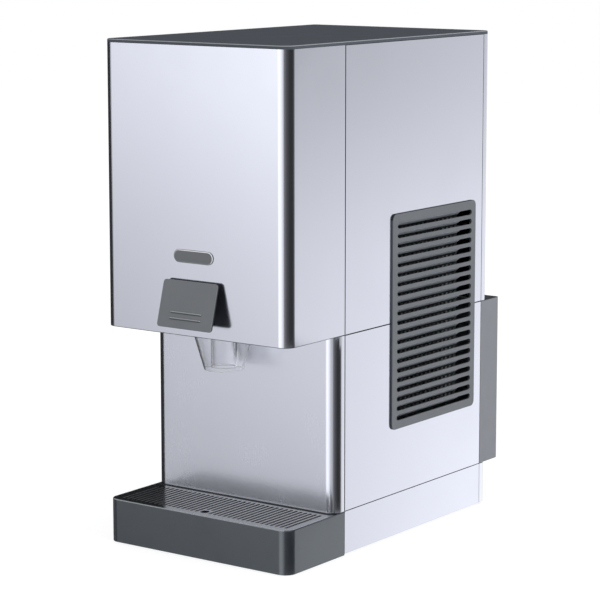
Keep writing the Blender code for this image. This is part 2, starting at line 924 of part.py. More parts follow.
def drip_tray():
    """Moulded tray: a front and side skirt, a basin on a raised floor, and a seat for the grille."""
    top = base_top_z - tray_rim_gap
    border = rounded_rectangle((-half_width, back(0)), (half_width, back(seam_front)),
                               front_corner_radius, 0)
    tray = plate("drip_tray", [border], tray_bottom_z, top, "up", tray_paint)
    seat_z = base_top_z - grille_top_drop - grille_thickness - fit_gap
    seat = rounded_rectangle((-half_width + tray_wall, back(tray_wall)),
                             (half_width - tray_wall, back(grille_rear_back + grille_play)),
                             front_corner_radius - tray_wall, fit_gap)
    basin = rounded_rectangle((-half_width + basin_inset, back(basin_inset)),
                              (half_width - basin_inset, back(grille_rear_back - tray_wall)),
                              basin_corner_radius, basin_corner_radius, 4)
    under = rounded_rectangle((-half_width + tray_wall, back(tray_wall)),
                              (half_width - tray_wall, back(side_seam_back + overrun)),
                              front_corner_radius - tray_wall, 0, 4)
    relief = [(-half_width + sheet, back(tray_rear_wall_back)),
              (half_width - sheet, back(tray_rear_wall_back)),
              (half_width - sheet, back(side_seam_back + overrun)),
              (-half_width + sheet, back(side_seam_back + overrun))]
    cut(tray, plate("tray underside", [under], tray_bottom_z - overrun, tray_floor_z),
        plate("tray relief", [relief], tray_bottom_z - overrun, top + overrun),
        plate("tray basin", [basin], tray_floor_z + tray_floor_thickness, top + overrun),
        plate("grille seat", [seat], seat_z, top + overrun),
        cylinder("tray drain", drain_pipe_radius + drain_hole_play,
                 (drain_x, back(grille_rear_back - overrun), drain_z),
                 (drain_x, back(tray_rear_wall_back + overrun), drain_z), 16))
    return tray


def drip_grille():
    """Slotted cover with a finger hole, lifted straight out of the tray."""
    edge = half_width - tray_wall - grille_play
    border = rounded_rectangle((-edge, back(tray_wall + grille_play)), (edge, back(grille_rear_back)),
                               front_corner_radius - tray_wall - grille_play, fit_gap)
    holes = [circle((0, back(finger_hole_back)), finger_hole_radius, 20)]
    gaps = round(2 * (half_width - slot_field_inset) / slot_pitch)
    for index in range(gaps + 1):
        x = (index - gaps / 2) * slot_pitch
        start = slot_front_back
        if abs(x) - slot_width / 2 < finger_hole_radius:
            start = finger_hole_back + finger_hole_radius + finger_hole_land
        holes.append(slot((x, back(start + slot_width / 2)), (x, back(slot_rear_back - slot_width / 2)),
                          slot_width, 2))
    high = base_top_z - grille_top_drop
    return plate("drip_grille", [border] + holes, high - grille_thickness, high, "up", grille_paint)


def drain_pipe():
    """Straight pipe from the tray's rear wall to the fitting at the rear of the base."""
    start = grille_rear_back - tray_wall - fit_gap
    length = rear_face_back - sheet - fit_gap - start
    profile = [(drain_pipe_bore, 0), (drain_pipe_bore, length), (drain_pipe_radius, length),
               (drain_pipe_radius, 0)]
    pipe = turned("drain_pipe", profile, True, 16, white_paint)
    return lay(pipe, "Y", (drain_x, back(start), drain_z))


def drain_outlet():
    """Flanged hose tail on the outside of the base rear panel."""
    start = fit_gap
    flange = start + drain_flange_thickness
    end = flange + drain_spigot_length
    profile = [(drain_pipe_bore, start), (drain_pipe_bore, end), (drain_pipe_radius, end),
               (drain_barb_radius, end - drain_spigot_length / 4),
               (drain_pipe_radius, end - drain_spigot_length / 2), (drain_pipe_radius, flange),
               (drain_flange_radius, flange), (drain_flange_radius, start)]
    outlet = turned("drain_outlet", profile, True, 16, black_paint)
    return lay(outlet, "Y", (drain_x, back(rear_face_back), drain_z))


# Air grilles

def air_grille(name, side):
    """Raised frame with horizontal slots and a sloping blade behind each."""
    front, rear = back(air_front_back), back(air_rear_back)
    border = rounded_rectangle((front, air_bottom_z), (rear, air_top_z), air_corner_radius,
                               air_corner_radius, 5)
    holes = []
    end_radius = louvre_slot_height / 2
    for index in range(louvre_count):
        z = louvre_top_z - index * louvre_pitch
        holes.append(slot((back(louvre_slot_front_back + end_radius), z),
                          (back(louvre_slot_rear_back - end_radius), z), louvre_slot_height, 3))
    inner = half_width + fit_gap
    outer = half_width + air_raise
    low, high = sorted((side * inner, side * outer))
    frame = plate(name, [border] + holes, low, high, "side", air_paint)
    mark_rim(frame, side * outer, air_edge_radius)
    blades = louvre_blades(name + " blades", side, inner)
    return join(frame, blades)


def mark_rim(frame, level, radius):
    """Bevel weight for the outer border only, not for the slots' edges."""
    mark_level(frame, level, 0)
    mesh = frame.data
    weights = mesh.attributes["bevel_weight_edge"]
    for edge in mesh.edges:
        middle = (mesh.vertices[edge.vertices[0]].co + mesh.vertices[edge.vertices[1]].co) / 2
        in_field = (back(louvre_slot_front_back) - radius < middle.y < back(louvre_slot_rear_back) + radius
                    and louvre_top_z + louvre_slot_height > middle.z
                    > louvre_top_z - louvre_pitch * louvre_count)
        if in_field:
            weights.data[edge.index].value = 0.0
    round_edges(frame, radius, 2, True)


def louvre_blades(name, side, inner):
    """Blades that start in the web above each slot and slope inwards and down."""
    form = bmesh.new()
    for index in range(louvre_count):
        top = louvre_top_z - index * louvre_pitch + louvre_slot_height / 2 + blade_root_rise
        root = inner + blade_root_depth
        tip = inner - blade_reach
        fall = blade_drop * (root - tip) / blade_reach
        corners = [(root, top), (tip, top - fall), (tip, top - fall + blade_thickness),
                   (root, top + blade_thickness)]
        ends = []
        for place in (louvre_slot_front_back, blade_rear_back):
            ends.append([form.verts.new((side * x, back(place), z)) for x, z in corners])
        form.faces.new(ends[0])
        form.faces.new(reversed(ends[1]))
        for turn in range(4):
            after = (turn + 1) % 4
            form.faces.new((ends[0][turn], ends[1][turn], ends[1][after], ends[0][after]))
    bmesh.ops.recalc_face_normals(form, faces=form.faces)
    mesh = bpy.data.meshes.new(name)
    form.to_mesh(mesh)
    form.free()
    return put(name, mesh)


# Flap, its pin, bracket, spring and switch

def flap_pivot():
    pivot = bpy.data.objects.new("flap_pivot", None)
    parts.objects.link(pivot)
    pivot.location = (0, back(flap_axis_back), flap_axis_z)
    pivot.rotation_euler = (-flap_rest_angle, 0, 0)
    return pivot


def dispense_flap(pivot):
    """Push plate hung from two lugs, with two finger ribs in front and a presser behind."""
    half = flap_width / 2
    bottom = flap_above_axis - flap_length
    face = -flap_plate_out - flap_thickness
    border = rounded_rectangle((-half, bottom), (half, flap_above_axis), flap_corner_radius,
                               flap_corner_radius, 4)
    flap = plate("dispense_flap", [border], face, -flap_plate_out, "front", flap_paint)
    mark_level(flap, face, 1)
    round_edges(flap, flap_edge_radius, 1, True)
    for down in rib_downs:
        rib = slot((-rib_width / 2 + rib_radius, -down), (rib_width / 2 - rib_radius, -down),
                   2 * rib_radius, 4)
        lump = plate("finger rib", [rib], face - rib_radius, face + flap_thickness / 2, "front")
        lump.parent = pivot
        join(flap, lump)
    for side in (-1, 1):
        outer = ear_inner_x - fit_gap
        lug = (arc((0, 0), lug_radius, -90, 90, 6)
               + [(-flap_plate_out - flap_thickness / 2, lug_radius),
                  (-flap_plate_out - flap_thickness / 2, -lug_radius)])
        xs = sorted((side * outer, side * (outer - lug_thickness)))
        lump = plate("flap lug", [lug, circle((0, 0), pin_bore, 16)], xs[0], xs[1], "side")
        lump.parent = pivot
        join(flap, lump)
    root = -flap_plate_out - flap_thickness / 2
    tip = arc((presser_length - presser_half_height, -presser_down), presser_half_height, -90, 90, 6)
    presser = plate("presser", [tip + [(root, -presser_down + presser_half_height),
                                       (root, -presser_down - presser_half_height)]],
                    -presser_half_width, presser_half_width, "side")
    presser.parent = pivot
    join(flap, presser)
    flap.parent = pivot
    return flap


def flap_hinge_pin():
    reach = ear_inner_x + ear_thickness + pin_overhang
    place = (back(flap_axis_back), flap_axis_z)
    return cylinder("flap_hinge_pin", pin_radius, (-reach, *place), (reach, *place), 16, plated_paint)


def flap_spring(pivot):
    """Torsion spring on the pin: one leg lies on the flap's back, the other in the bracket's window."""
    radius = flap_plate_out - fit_gap - spring_wire
    total = spring_turns + 1 / 4
    start_x = -total * spring_pitch / 2
    points = [(start_x, -radius, -spring_leg)]
    for step in range(round(total * spring_steps) + 1):
        turn = step / spring_steps
        angle = 2 * math.pi * turn
        points.append((start_x + turn * spring_pitch, -radius * math.cos(angle),
                       radius * math.sin(angle)))
    last = points[-1]
    points.append((last[0], last[1] + spring_rear_leg, last[2]))
    spring = tube("flap_spring", points, spring_wire, plated_paint, 1)
    spring.parent = pivot
    return spring


def flap_bracket():
    """Plate behind the panel's opening, two ears for the pin, and a shelf and tab for the switch."""
    front = back(sheet + fit_gap)
    rear = front + bracket_sheet
    border = [(-bracket_half_width, bracket_bottom_z), (bracket_half_width, bracket_bottom_z),
              (bracket_half_width, bracket_top_z), (-bracket_half_width, bracket_top_z)]
    window = [(-ear_inner_x, bracket_window_bottom_z), (ear_inner_x, bracket_window_bottom_z),
              (ear_inner_x, bracket_window_top_z), (-ear_inner_x, bracket_window_top_z)]
    bracket = plate("flap_bracket", [border, window], front, rear, "front", plated_paint)
    axis = (back(flap_axis_back), flap_axis_z)
    for side in (-1, 1):
        root = back(ear_root_back)
        ear = arc(axis, ear_radius, 90, 270, 8) + [(root, flap_axis_z - ear_root_drop),
                                                   (root, flap_axis_z + ear_radius)]
        xs = sorted((side * ear_inner_x, side * (ear_inner_x + ear_thickness)))
        join(bracket, plate("ear", [ear, circle(axis, pin_bore, 16)], xs[0], xs[1], "side"))
    tab_x = switch_width / 2 + fit_gap
    shelf = box("shelf", (-switch_width, (front + rear) / 2, bracket_top_z - bracket_sheet * 5 / 4),
                (tab_x + bracket_sheet, back(shelf_rear_back), bracket_top_z - bracket_sheet / 4))
    tab = box("tab", (tab_x, back(tab_front_back), tab_bottom_z),
              (tab_x + bracket_sheet * 3 / 4, back(shelf_rear_back) - bracket_sheet / 4,
               bracket_top_z - bracket_sheet * 3 / 4))
    return join(bracket, shelf, tab)


def microswitch():
    half = switch_width / 2
    top = switch_bottom_z + switch_height
    front = back(switch_front_back)
    body = box("microswitch", (-half, front, switch_bottom_z), (half, front + switch_depth, top),
               black_paint)
    for side in (-1, 1):
        xs = sorted((side * (half - fit_gap), side * (lever_half_width + fit_gap)))
        join(body, box("switch lug", (xs[0], back(switch_lug_front_back),
                                      lever_axis_z - switch_lug_half_height),
                       (xs[1], front + switch_depth / 4, lever_axis_z + switch_lug_half_height)))
    return body


def switch_lever():
    """Thin blade on a small barrel; it hangs in front of the switch, in the presser's way."""
    blade_edge = lever_barrel_radius
    lever = box("switch_lever", (-lever_half_width + fit_gap, blade_edge - lever_thickness - fit_gap / 2,
                                 -lever_length),
                (lever_half_width - fit_gap, blade_edge - fit_gap / 2, 0), plated_paint)
    barrel = cylinder("lever barrel", lever_barrel_radius, (-lever_half_width, 0, 0),
                      (lever_half_width, 0, 0), 12)
    pivot = bpy.data.objects.new("lever_pivot", None)
    parts.objects.link(pivot)
    pivot.location = (0, back(lever_axis_back), lever_axis_z)
    pivot.rotation_euler = (-lever_rest_angle, 0, 0)
    barrel.parent = pivot
    lever.parent = pivot
    return join(lever, barrel)


# Spout, ice tube, shelf and bin

def spout_cone():
    """Clear cone that hangs through the head's underside from a flange above it."""
    seat = head_bottom_z + fit_gap + sheet + fit_gap
    top = seat + spout_flange_thickness
    profile = [(spout_bottom_radius - spout_wall, spout_bottom_z),
               (spout_top_radius - spout_wall, seat), (spout_top_radius - spout_wall, top),
               (spout_flange_radius, top), (spout_flange_radius, seat), (spout_top_radius, seat),
               (spout_top_radius, head_bottom_z), (spout_bottom_radius, spout_bottom_z)]
    cone = turned("spout_cone", profile, True, turn_steps, clear_paint)
    cone.location = (0, back(spout_back), 0)
    return cone


def shelf_levels():
    low = head_bottom_z + sheet + spout_flange_thickness + 3 * fit_gap
    return low, low + shelf_thickness


def ice_tube():
    """Clear tube from the bin's drop hole down inside the cone; its collar sits on the shelf."""
    collar = shelf_levels()[1] + fit_gap
    top = collar + tube_collar_thickness + tube_above_collar
    inner = tube_radius - tube_wall
    profile = [(inner, tube_bottom_z), (inner, top), (tube_radius, top),
               (tube_radius, collar + tube_collar_thickness),
               (tube_collar_radius, collar + tube_collar_thickness), (tube_collar_radius, collar),
               (tube_radius, collar), (tube_radius, tube_bottom_z)]
    pipe = turned("ice_tube", profile, True, 24, clear_paint)
    pipe.location = (0, back(spout_back), 0)
    return pipe


def bin_shelf():
    """Sheet that carries the bin; its rear corners clear the front posts."""
    wide = half_width - sheet - 2 * fit_gap
    radius = front_corner_radius - sheet - 2 * fit_gap
    near = back(sheet + 2 * fit_gap)
    first = back(post_front_back - fit_gap)
    middle_x = bulkhead_half_width - post_flange - 2 * fit_gap
    narrow = bulkhead_half_width - post_width - 2 * fit_gap
    step = back(post_front_back + post_depth - post_flange - fit_gap)
    rear = back(bulkhead_back - fit_gap)
    right = [(wide, first), (middle_x, first), (middle_x, step), (narrow, step), (narrow, rear)]
    left = [(-x, y) for x, y in reversed(right)]
    corners = (arc((-wide + radius, near + radius), radius, 180, 270, 4)
               + arc((wide - radius, near + radius), radius, 270, 360, 4))
    hole = circle((0, back(spout_back)), tube_radius + tube_hole_play, 20)
    low, high = shelf_levels()
    return plate("bin_shelf", [corners + right + left, hole], low, high, "up", plated_paint)


def ice_bin():
    """Foamed bin whose hollow runs down to a half-round trough along the auger."""
    low = shelf_levels()[1] + fit_gap
    body = box("ice_bin", (-bin_half_width, back(bin_front_back), low),
               (bin_half_width, back(bin_rear_back), bin_top_z), white_paint)
    inside = bin_half_width - bin_wall
    trough = arc((0, auger_axis_z), trough_radius, 180, 360, 12)
    trough_top = auger_axis_z + trough_radius
    shoulder = trough_top + (bin_top_z - trough_top) * hopper_shoulder_share
    hopper = trough + [(inside, shoulder), (inside, bin_top_z + overrun),
                       (-inside, bin_top_z + overrun), (-inside, shoulder)]
    hollow = plate("bin hollow", [hopper], back(bin_front_back + bin_wall),
                   back(bin_rear_back - bin_wall), "front")
    centre_y = back(spout_back)
    drop = cylinder("drop hole", tube_radius + tube_hole_play, (0, centre_y, low - overrun),
                    (0, centre_y, auger_axis_z), 20)
    collar = cylinder("collar seat", tube_collar_radius + tube_hole_play, (0, centre_y, low - overrun),
                      (0, centre_y, low + tube_collar_thickness + fit_gap), 20)
    bush_hole = cylinder("bush hole", bush_radius + fit_gap,
                         (0, back(bin_rear_back - bin_wall - overrun), auger_axis_z),
                         (0, back(bin_rear_back + overrun), auger_axis_z), 20)
    return cut(body, hollow, drop, collar, bush_hole)


def dispense_auger():
    """Shaft with a helical flight, made along Z and laid along the trough."""
    shaft_front = auger_flight_front_back - auger_shaft_radius
    shaft_rear = bulkhead_back + bulkhead_sheet + 2 * fit_gap
    length = shaft_rear - shaft_front
    shaft = cylinder("dispense_auger", auger_shaft_radius, (0, 0, 0), (0, 0, length), 16, tin_paint)
    form = bmesh.new()
    ends = [form.verts.new((auger_flight_root, 0, 0)), form.verts.new((auger_flight_radius, 0, 0))]
    form.edges.new(ends)
    mesh = bpy.data.meshes.new("auger flight")
    form.to_mesh(mesh)
    form.free()
    flight = put("auger flight", mesh)
    flight.location = (0, 0, auger_flight_front_back - shaft_front)
    turn = flight.modifiers.new("helix", "SCREW")
    turn.axis = "Z"
    turn.steps = auger_steps
    turn.render_steps = auger_steps
    turn.screw_offset = auger_pitch
    turn.iterations = auger_turns
    turn.use_merge_vertices = False
    skin = flight.modifiers.new("sheet", "SOLIDIFY")
    skin.thickness = auger_flight_thickness
    skin.offset = 0
    flight.parent = shaft
    shaft.rotation_euler = (math.radians(-90), 0, 0)
    shaft.location = (0, back(shaft_front), auger_axis_z)
    return join(shaft, flight)


def auger_bush():
    """Flanged bush in the bin's rear wall."""
    length = bin_wall
    hole = auger_shaft_radius + shaft_play
    profile = [(hole, -length), (hole, bush_flange_thickness + fit_gap),
               (bush_flange_radius, bush_flange_thickness + fit_gap), (bush_flange_radius, fit_gap),
               (bush_radius, fit_gap), (bush_radius, -length)]
    bush = turned("auger_bush", profile, True, 16, white_paint)
    return lay(bush, "Y", (0, back(bin_rear_back), auger_axis_z))


def auger_gearmotor():
    """Gearbox on the bulkhead's rear face with its motor below the output shaft's height."""
    near = back(bulkhead_back + bulkhead_sheet + fit_gap)
    far = near + gearbox_depth
    gearbox = box("auger_gearmotor", (-gearbox_half_width, near, auger_axis_z - gearbox_drop),
                  (gearbox_half_width, far, auger_axis_z + gearbox_rise), black_paint)
    round_edges(gearbox, gearbox_depth / 8, 1)
    centre_z = auger_axis_z - gearbox_drop / 3
    motor = cylinder("motor can", gearmotor_radius, (0, far - gearbox_depth / 4, centre_z),
                     (0, far + gearmotor_length, centre_z), 24)
    socket = cylinder("output socket", auger_shaft_radius + shaft_play,
                      (0, near - overrun, auger_axis_z), (0, near + gearbox_depth / 2, auger_axis_z), 16)
    join(gearbox, motor)
    return cut(gearbox, socket)


# Frame

def bulkhead():
    """Upright sheet between the bin and the machine space."""
    near = back(bulkhead_back)
    low = pan_floor_z + pan_floor_sheet + fit_gap
    high = deck_z - fit_gap
    border = [(-bulkhead_half_width, low), (bulkhead_half_width, low), (bulkhead_half_width, high),
              (-bulkhead_half_width, high)]
    shaft = circle((0, auger_axis_z), auger_shaft_radius + shaft_play * 2, 16)
    drain = circle((drain_x, drain_z), drain_pipe_radius + drain_hole_play, 16)
    return plate("bulkhead", [border, shaft, drain], near, near + bulkhead_sheet, "front", plated_paint)


def machine_deck():
    """Level sheet over the machine space, under the spray chamber."""
    wide = bulkhead_half_width
    near = back(bulkhead_back)
    far = back(post_rear_back - fit_gap)
    border = [(-wide, near), (wide, near), (wide, far), (-wide, far)]
    line = circle((suction_x, back(compressor_back)), line_radius + drain_hole_play, 16)
    return plate("machine_deck", [border, line], deck_z, deck_z + deck_sheet, "up", plated_paint)


def post(name, side, near, depth, flange_at_rear):
    """Upright angle section inside a side seam."""
    outer = bulkhead_half_width
    low = pan_floor_z + pan_floor_sheet + fit_gap
    front, rear = back(near), back(near + depth)
    if flange_at_rear:
        points = [(outer, front), (outer, rear), (outer - post_width, rear),
                  (outer - post_width, rear - post_flange), (outer - post_flange, rear - post_flange),
                  (outer - post_flange, front)]
    else:
        points = [(outer, front), (outer, rear), (outer - post_flange, rear),
                  (outer - post_flange, front + post_flange), (outer - post_width, front + post_flange),
                  (outer - post_width, front)]
    border = [(side * x, y) for x, y in points]
    return plate(name, [border], low, post_top_z, "up", plated_paint)


def posts():
    for word, side in (("left", -1), ("right", 1)):
        post("front_" + word + "_post", side, post_front_back, post_depth, True)
        post("rear_" + word + "_post", side, post_rear_back,
             rear_seam_back - fit_gap - post_rear_back, False)


# Refrigeration

def compressor():
    """Domed can on a foot plate with four rubber grommets."""
    profile = [(0, compressor_top_z)]
    profile += [(compressor_radius * math.sin(math.radians(angle)),
                 compressor_top_z - compressor_dome * (1 - math.cos(math.radians(angle))))
                for angle in (30, 55, 75, 90)]
    profile += [(compressor_radius, compressor_body_z + compressor_dome / 2),
                (compressor_radius * 4 / 5, compressor_body_z), (0, compressor_body_z)]
    can = turned("compressor", profile, False, 16, black_paint)
    centre_y = back(compressor_back)
    can.location = (compressor_x, centre_y, 0)
    low = compressor_plate_z
    sunk = low + compressor_plate_thickness / 2
    half_x, half_y = compressor_plate_half_x, compressor_plate_half_y
    foot = box("foot plate", (compressor_x - half_x, centre_y - half_y, low),
               (compressor_x + half_x, centre_y + half_y, low + compressor_plate_thickness))
    stand = cylinder("stand", compressor_radius / 2, (compressor_x, centre_y, sunk),
                     (compressor_x, centre_y, compressor_body_z + compressor_dome), 20)
    join(can, stand, foot)
    floor = pan_floor_z + pan_floor_sheet + fit_gap
    for x in (-compressor_foot_x, compressor_foot_x):
        for y in (-compressor_foot_y, compressor_foot_y):
            join(can, cylinder("grommet", grommet_radius, (compressor_x + x, centre_y + y, floor),
                               (compressor_x + x, centre_y + y, sunk), 12))
    return can


def condenser():
    """Finned block whose grooves face the air grille."""
    low_x = shroud_x + shroud_sheet + fit_gap
    high_x = low_x + condenser_depth
    front, rear = back(condenser_front_back), back(condenser_rear_back)
    border = [(low_x, rear), (low_x, front), (high_x, front)]
    count = math.floor((condenser_rear_back - condenser_front_back - fin_groove) / fin_pitch)
    first = (front + rear - (count - 1) * fin_pitch) / 2
    for index in range(count):
        near = first + index * fin_pitch - fin_groove / 2
        far = near + fin_groove
        border += [(high_x, near), (high_x - fin_groove_depth, near),
                   (high_x - fin_groove_depth, far), (high_x, far)]
    border.append((high_x, rear))
    return plate("condenser", [border], condenser_bottom_z, condenser_top_z, "up", plated_paint)


def fan_shroud():
    """Upright sheet with a round air hole and a short ring; it stands on the base pan."""
    low = pan_floor_z + pan_floor_sheet + fit_gap
    front, rear = back(shroud_front_back), back(shroud_rear_back)
    axis = (back(fan_axis_back), fan_axis_z)
    border = [(front, low), (rear, low), (rear, shroud_top_z), (front, shroud_top_z)]
    hole = circle(axis, shroud_hole_radius, turn_steps)
    shroud = plate("fan_shroud", [border, hole], shroud_x, shroud_x + shroud_sheet, "side", plated_paint)
    ring = plate("shroud ring", [circle(axis, shroud_hole_radius + shroud_ring_wall, turn_steps),
                                 circle(axis, shroud_hole_radius + fit_gap, turn_steps)],
                 shroud_x - shroud_ring_depth, shroud_x + shroud_sheet / 2, "side")
    return join(shroud, ring)


def fan_blade():
    """Hub with pitched blades, made about Z and laid along the fan's axis."""
    half = fan_hub_length / 2
    hub = cylinder("fan_blade", fan_hub_radius, (0, 0, -half), (0, 0, half), 20, white_paint)
    root, shoulder, tip = fan_hub_radius * 4 / 5, fan_radius * 3 / 4, fan_radius * 19 / 20
    for index in range(fan_blade_count):
        outline = [(root, -fan_blade_width / 4), (shoulder, -fan_blade_width / 2),
                   (tip, -fan_blade_width / 4), (tip, fan_blade_width / 4),
                   (shoulder, fan_blade_width / 2), (root, fan_blade_width / 5)]
        blade = plate("blade", [outline], -fan_blade_thickness / 2, fan_blade_thickness / 2)
        blade.rotation_mode = "QUATERNION"
        turn = Matrix.Rotation(2 * math.pi * index / fan_blade_count, 4, "Z")
        pitch = Matrix.Rotation(fan_blade_angle, 4, "X")
        blade.rotation_quaternion = (turn @ pitch).to_quaternion()
        blade.parent = hub
        join(hub, blade)
    bore = cylinder("hub bore", motor_shaft_radius + shaft_play, (0, 0, -half - overrun),
                    (0, 0, half + overrun), 12)
    bore.parent = hub
    cut(hub, bore)
    return lay(hub, "X", (fan_x, back(fan_axis_back), fan_axis_z))


def fan_motor():
    """Motor can with its shaft, held to the shroud by three arms outside the fan's sweep."""
    axis_y, axis_z = back(fan_axis_back), fan_axis_z
    can = cylinder("fan_motor", motor_radius, (motor_x, axis_y, axis_z),
                   (motor_x + motor_length, axis_y, axis_z), 24, black_paint)
    join(can, cylinder("motor shaft", motor_shaft_radius,
                       (motor_x + motor_length / 2, axis_y, axis_z),
                       (fan_x + fan_hub_length / 2, axis_y, axis_z), 12))
    far_x = shroud_x - fit_gap
    middle_x = motor_x + motor_length / 4
    for angle in (90, 210, 330):
        turn = math.radians(angle)
        arm = box("arm", (middle_x, -motor_arm_width / 2, motor_radius / 2),
                  (middle_x + motor_arm_sheet, motor_arm_width / 2, motor_arm_reach))
        leg = box("arm leg", (middle_x + motor_arm_sheet / 2, -motor_arm_width / 3,
                              motor_arm_reach - motor_arm_sheet),
                  (far_x, motor_arm_width / 3, motor_arm_reach - motor_arm_sheet / 4))
        for piece in (arm, leg):
            piece.rotation_euler = (turn - math.radians(90), 0, 0)
            piece.location = (0, axis_y, axis_z)
            join(can, piece)
    return can


def filter_drier():
    """Copper can clipped against the shroud."""
    top = drier_bottom_z + drier_length
    profile = [(0, top), (drier_neck_radius, top), (drier_neck_radius, top - drier_radius),
               (drier_radius, top - 2 * drier_radius), (drier_radius, drier_bottom_z + 2 * drier_radius),
               (drier_neck_radius, drier_bottom_z + drier_radius), (drier_neck_radius, drier_bottom_z),
               (0, drier_bottom_z)]
    drier = turned("filter_drier", profile, False, 16, copper_paint)
    drier.location = (drier_x, back(drier_back), 0)
    return drier


def suction_line():
    """Return line from the evaporator's coil down through the deck to the compressor."""
    y = back(compressor_back)
    side_z = compressor_body_z + compressor_dome * 2
    coil_z = evaporator_top_z + coil_radius + fit_gap
    coil_y = back(evaporator_front_back + coil_margin)
    suction = [(compressor_x - compressor_radius - fit_gap * 2, y, side_z), (suction_x, y, side_z),
               (suction_x, y, coil_z), (suction_x, coil_y, coil_z),
               (window_left_x + coil_margin - fit_gap, coil_y, coil_z)]
    return tube("suction_line", route(suction, line_radius * 3), line_radius, copper_paint)


def electric_box():
    near = back(bulkhead_back + bulkhead_sheet + fit_gap)
    case = box("electric_box", (electric_x - electric_half_width, near, electric_bottom_z),
               (electric_x + electric_half_width, near + electric_depth, electric_top_z), plated_paint)
    return round_edges(case, electric_edge, 1)


# Ice making

def spray_chamber():
    """Open-topped tank: sump below, a window for the ice in front, lugs for the curtain."""
    low = deck_z + deck_sheet + fit_gap
    front, rear = back(chamber_front_back), back(chamber_rear_back)
    tank = box("spray_chamber", (-chamber_half_width, front, low),
               (chamber_half_width, rear, chamber_top_z), white_paint)
    hollow = box("chamber hollow", (-chamber_half_width + chamber_wall, front + chamber_wall,
                                    low + chamber_wall),
                 (chamber_half_width - chamber_wall, rear - chamber_wall, chamber_top_z + overrun))
    window = box("ice window", (window_left_x, front - overrun, window_bottom_z),
                 (window_right_x, front + chamber_wall + overrun / 2, chamber_top_z + overrun))
    valve = cylinder("valve hole", float_body_radius + service_hole_play,
                     (float_x, rear - chamber_wall - overrun / 2, float_axis_z),
                     (float_x, rear + overrun, float_axis_z), 16)
    cut(tank, hollow, window, valve)
    ledge_back = chamber_rear_back - chamber_wall - slide_ledge_depth
    ledge_top = slide_level(ledge_back) - fit_gap
    join(tank, box("slide ledge", (window_left_x, back(ledge_back), ledge_top - slide_ledge_thickness),
                   (window_right_x, rear - chamber_wall / 2, ledge_top)))
    axis = (back(curtain_axis_back), curtain_axis_z)
    for x, side in ((window_left_x, -1), (window_right_x, 1)):
        lug = (arc(axis, curtain_lug_half_height, 90, 270, 6)
               + [(front + chamber_wall / 2, curtain_axis_z - curtain_lug_half_height),
                  (front + chamber_wall / 2, curtain_axis_z + curtain_lug_half_height)])
        xs = sorted((x + side * fit_gap, x + side * curtain_lug_thickness))
        bore = circle(axis, curtain_pin_radius + curtain_pin_play, 12)
        join(tank, plate("curtain lug", [lug, bore], xs[0], xs[1], "side"))
    return tank


def slide_level(distance):
    """Height of the ice slide's underside, which starts on the window's front sill."""
    return window_bottom_z + fit_gap + (distance - chamber_front_back) * math.tan(slide_angle)


def ice_slide():
    """Sloping slatted plate: cubes slide forward on it and the water falls back through its slots."""
    side_left = window_left_x + slide_side_play
    side_right = window_right_x - slide_side_play
    length = (slide_rear_back - slide_front_back) / math.cos(slide_angle)
    border = [(side_left, 0), (side_right, 0), (side_right, length), (side_left, length)]
    count = math.floor((side_right - side_left - slide_slot_pitch / 2) / slide_slot_pitch)
    first = (side_left + side_right - (count - 1) * slide_slot_pitch) / 2
    start = chamber_front_back - slide_front_back + slide_slot_end
    holes = []
    for index in range(count):
        x = first + index * slide_slot_pitch
        holes.append(slot((x, start), (x, length - slide_slot_end), slide_slot_width, 2))
    slide = plate("ice_slide", [border] + holes, 0, slide_thickness, "up", white_paint)
    slide.location = (0, back(slide_front_back), slide_level(slide_front_back))
    slide.rotation_euler = (slide_angle, 0, 0)
    return slide


def spray_bar():
    """Pipe along the sump with a row of nozzles."""
    bar = cylinder("spray_bar", spray_radius, (spray_x, back(spray_front_back), spray_z),
                   (spray_x, back(spray_rear_back), spray_z), 16, white_paint)
    span = spray_rear_back - spray_front_back
    for index in range(nozzle_count):
        y = back(spray_front_back + span * (index + 0.5) / nozzle_count)
        join(bar, cylinder("nozzle", nozzle_radius, (spray_x, y, spray_z),
                           (spray_x, y, spray_z + nozzle_height), 12))
    return bar


def circulation_pump():
    """Upright motor on its pump housing, beside the chamber."""
    low = deck_z + deck_sheet + fit_gap
    top = low + pump_height
    profile = [(0, top), (pump_radius, top), (pump_radius, low + pump_base_height),
               (pump_base_radius, low + pump_base_height), (pump_base_radius, low), (0, low)]
    pump = turned("circulation_pump", profile, False, 20, black_paint)
    pump.location = (-chamber_half_width - fit_gap - pump_base_radius, back(pump_back), 0)
    return pump


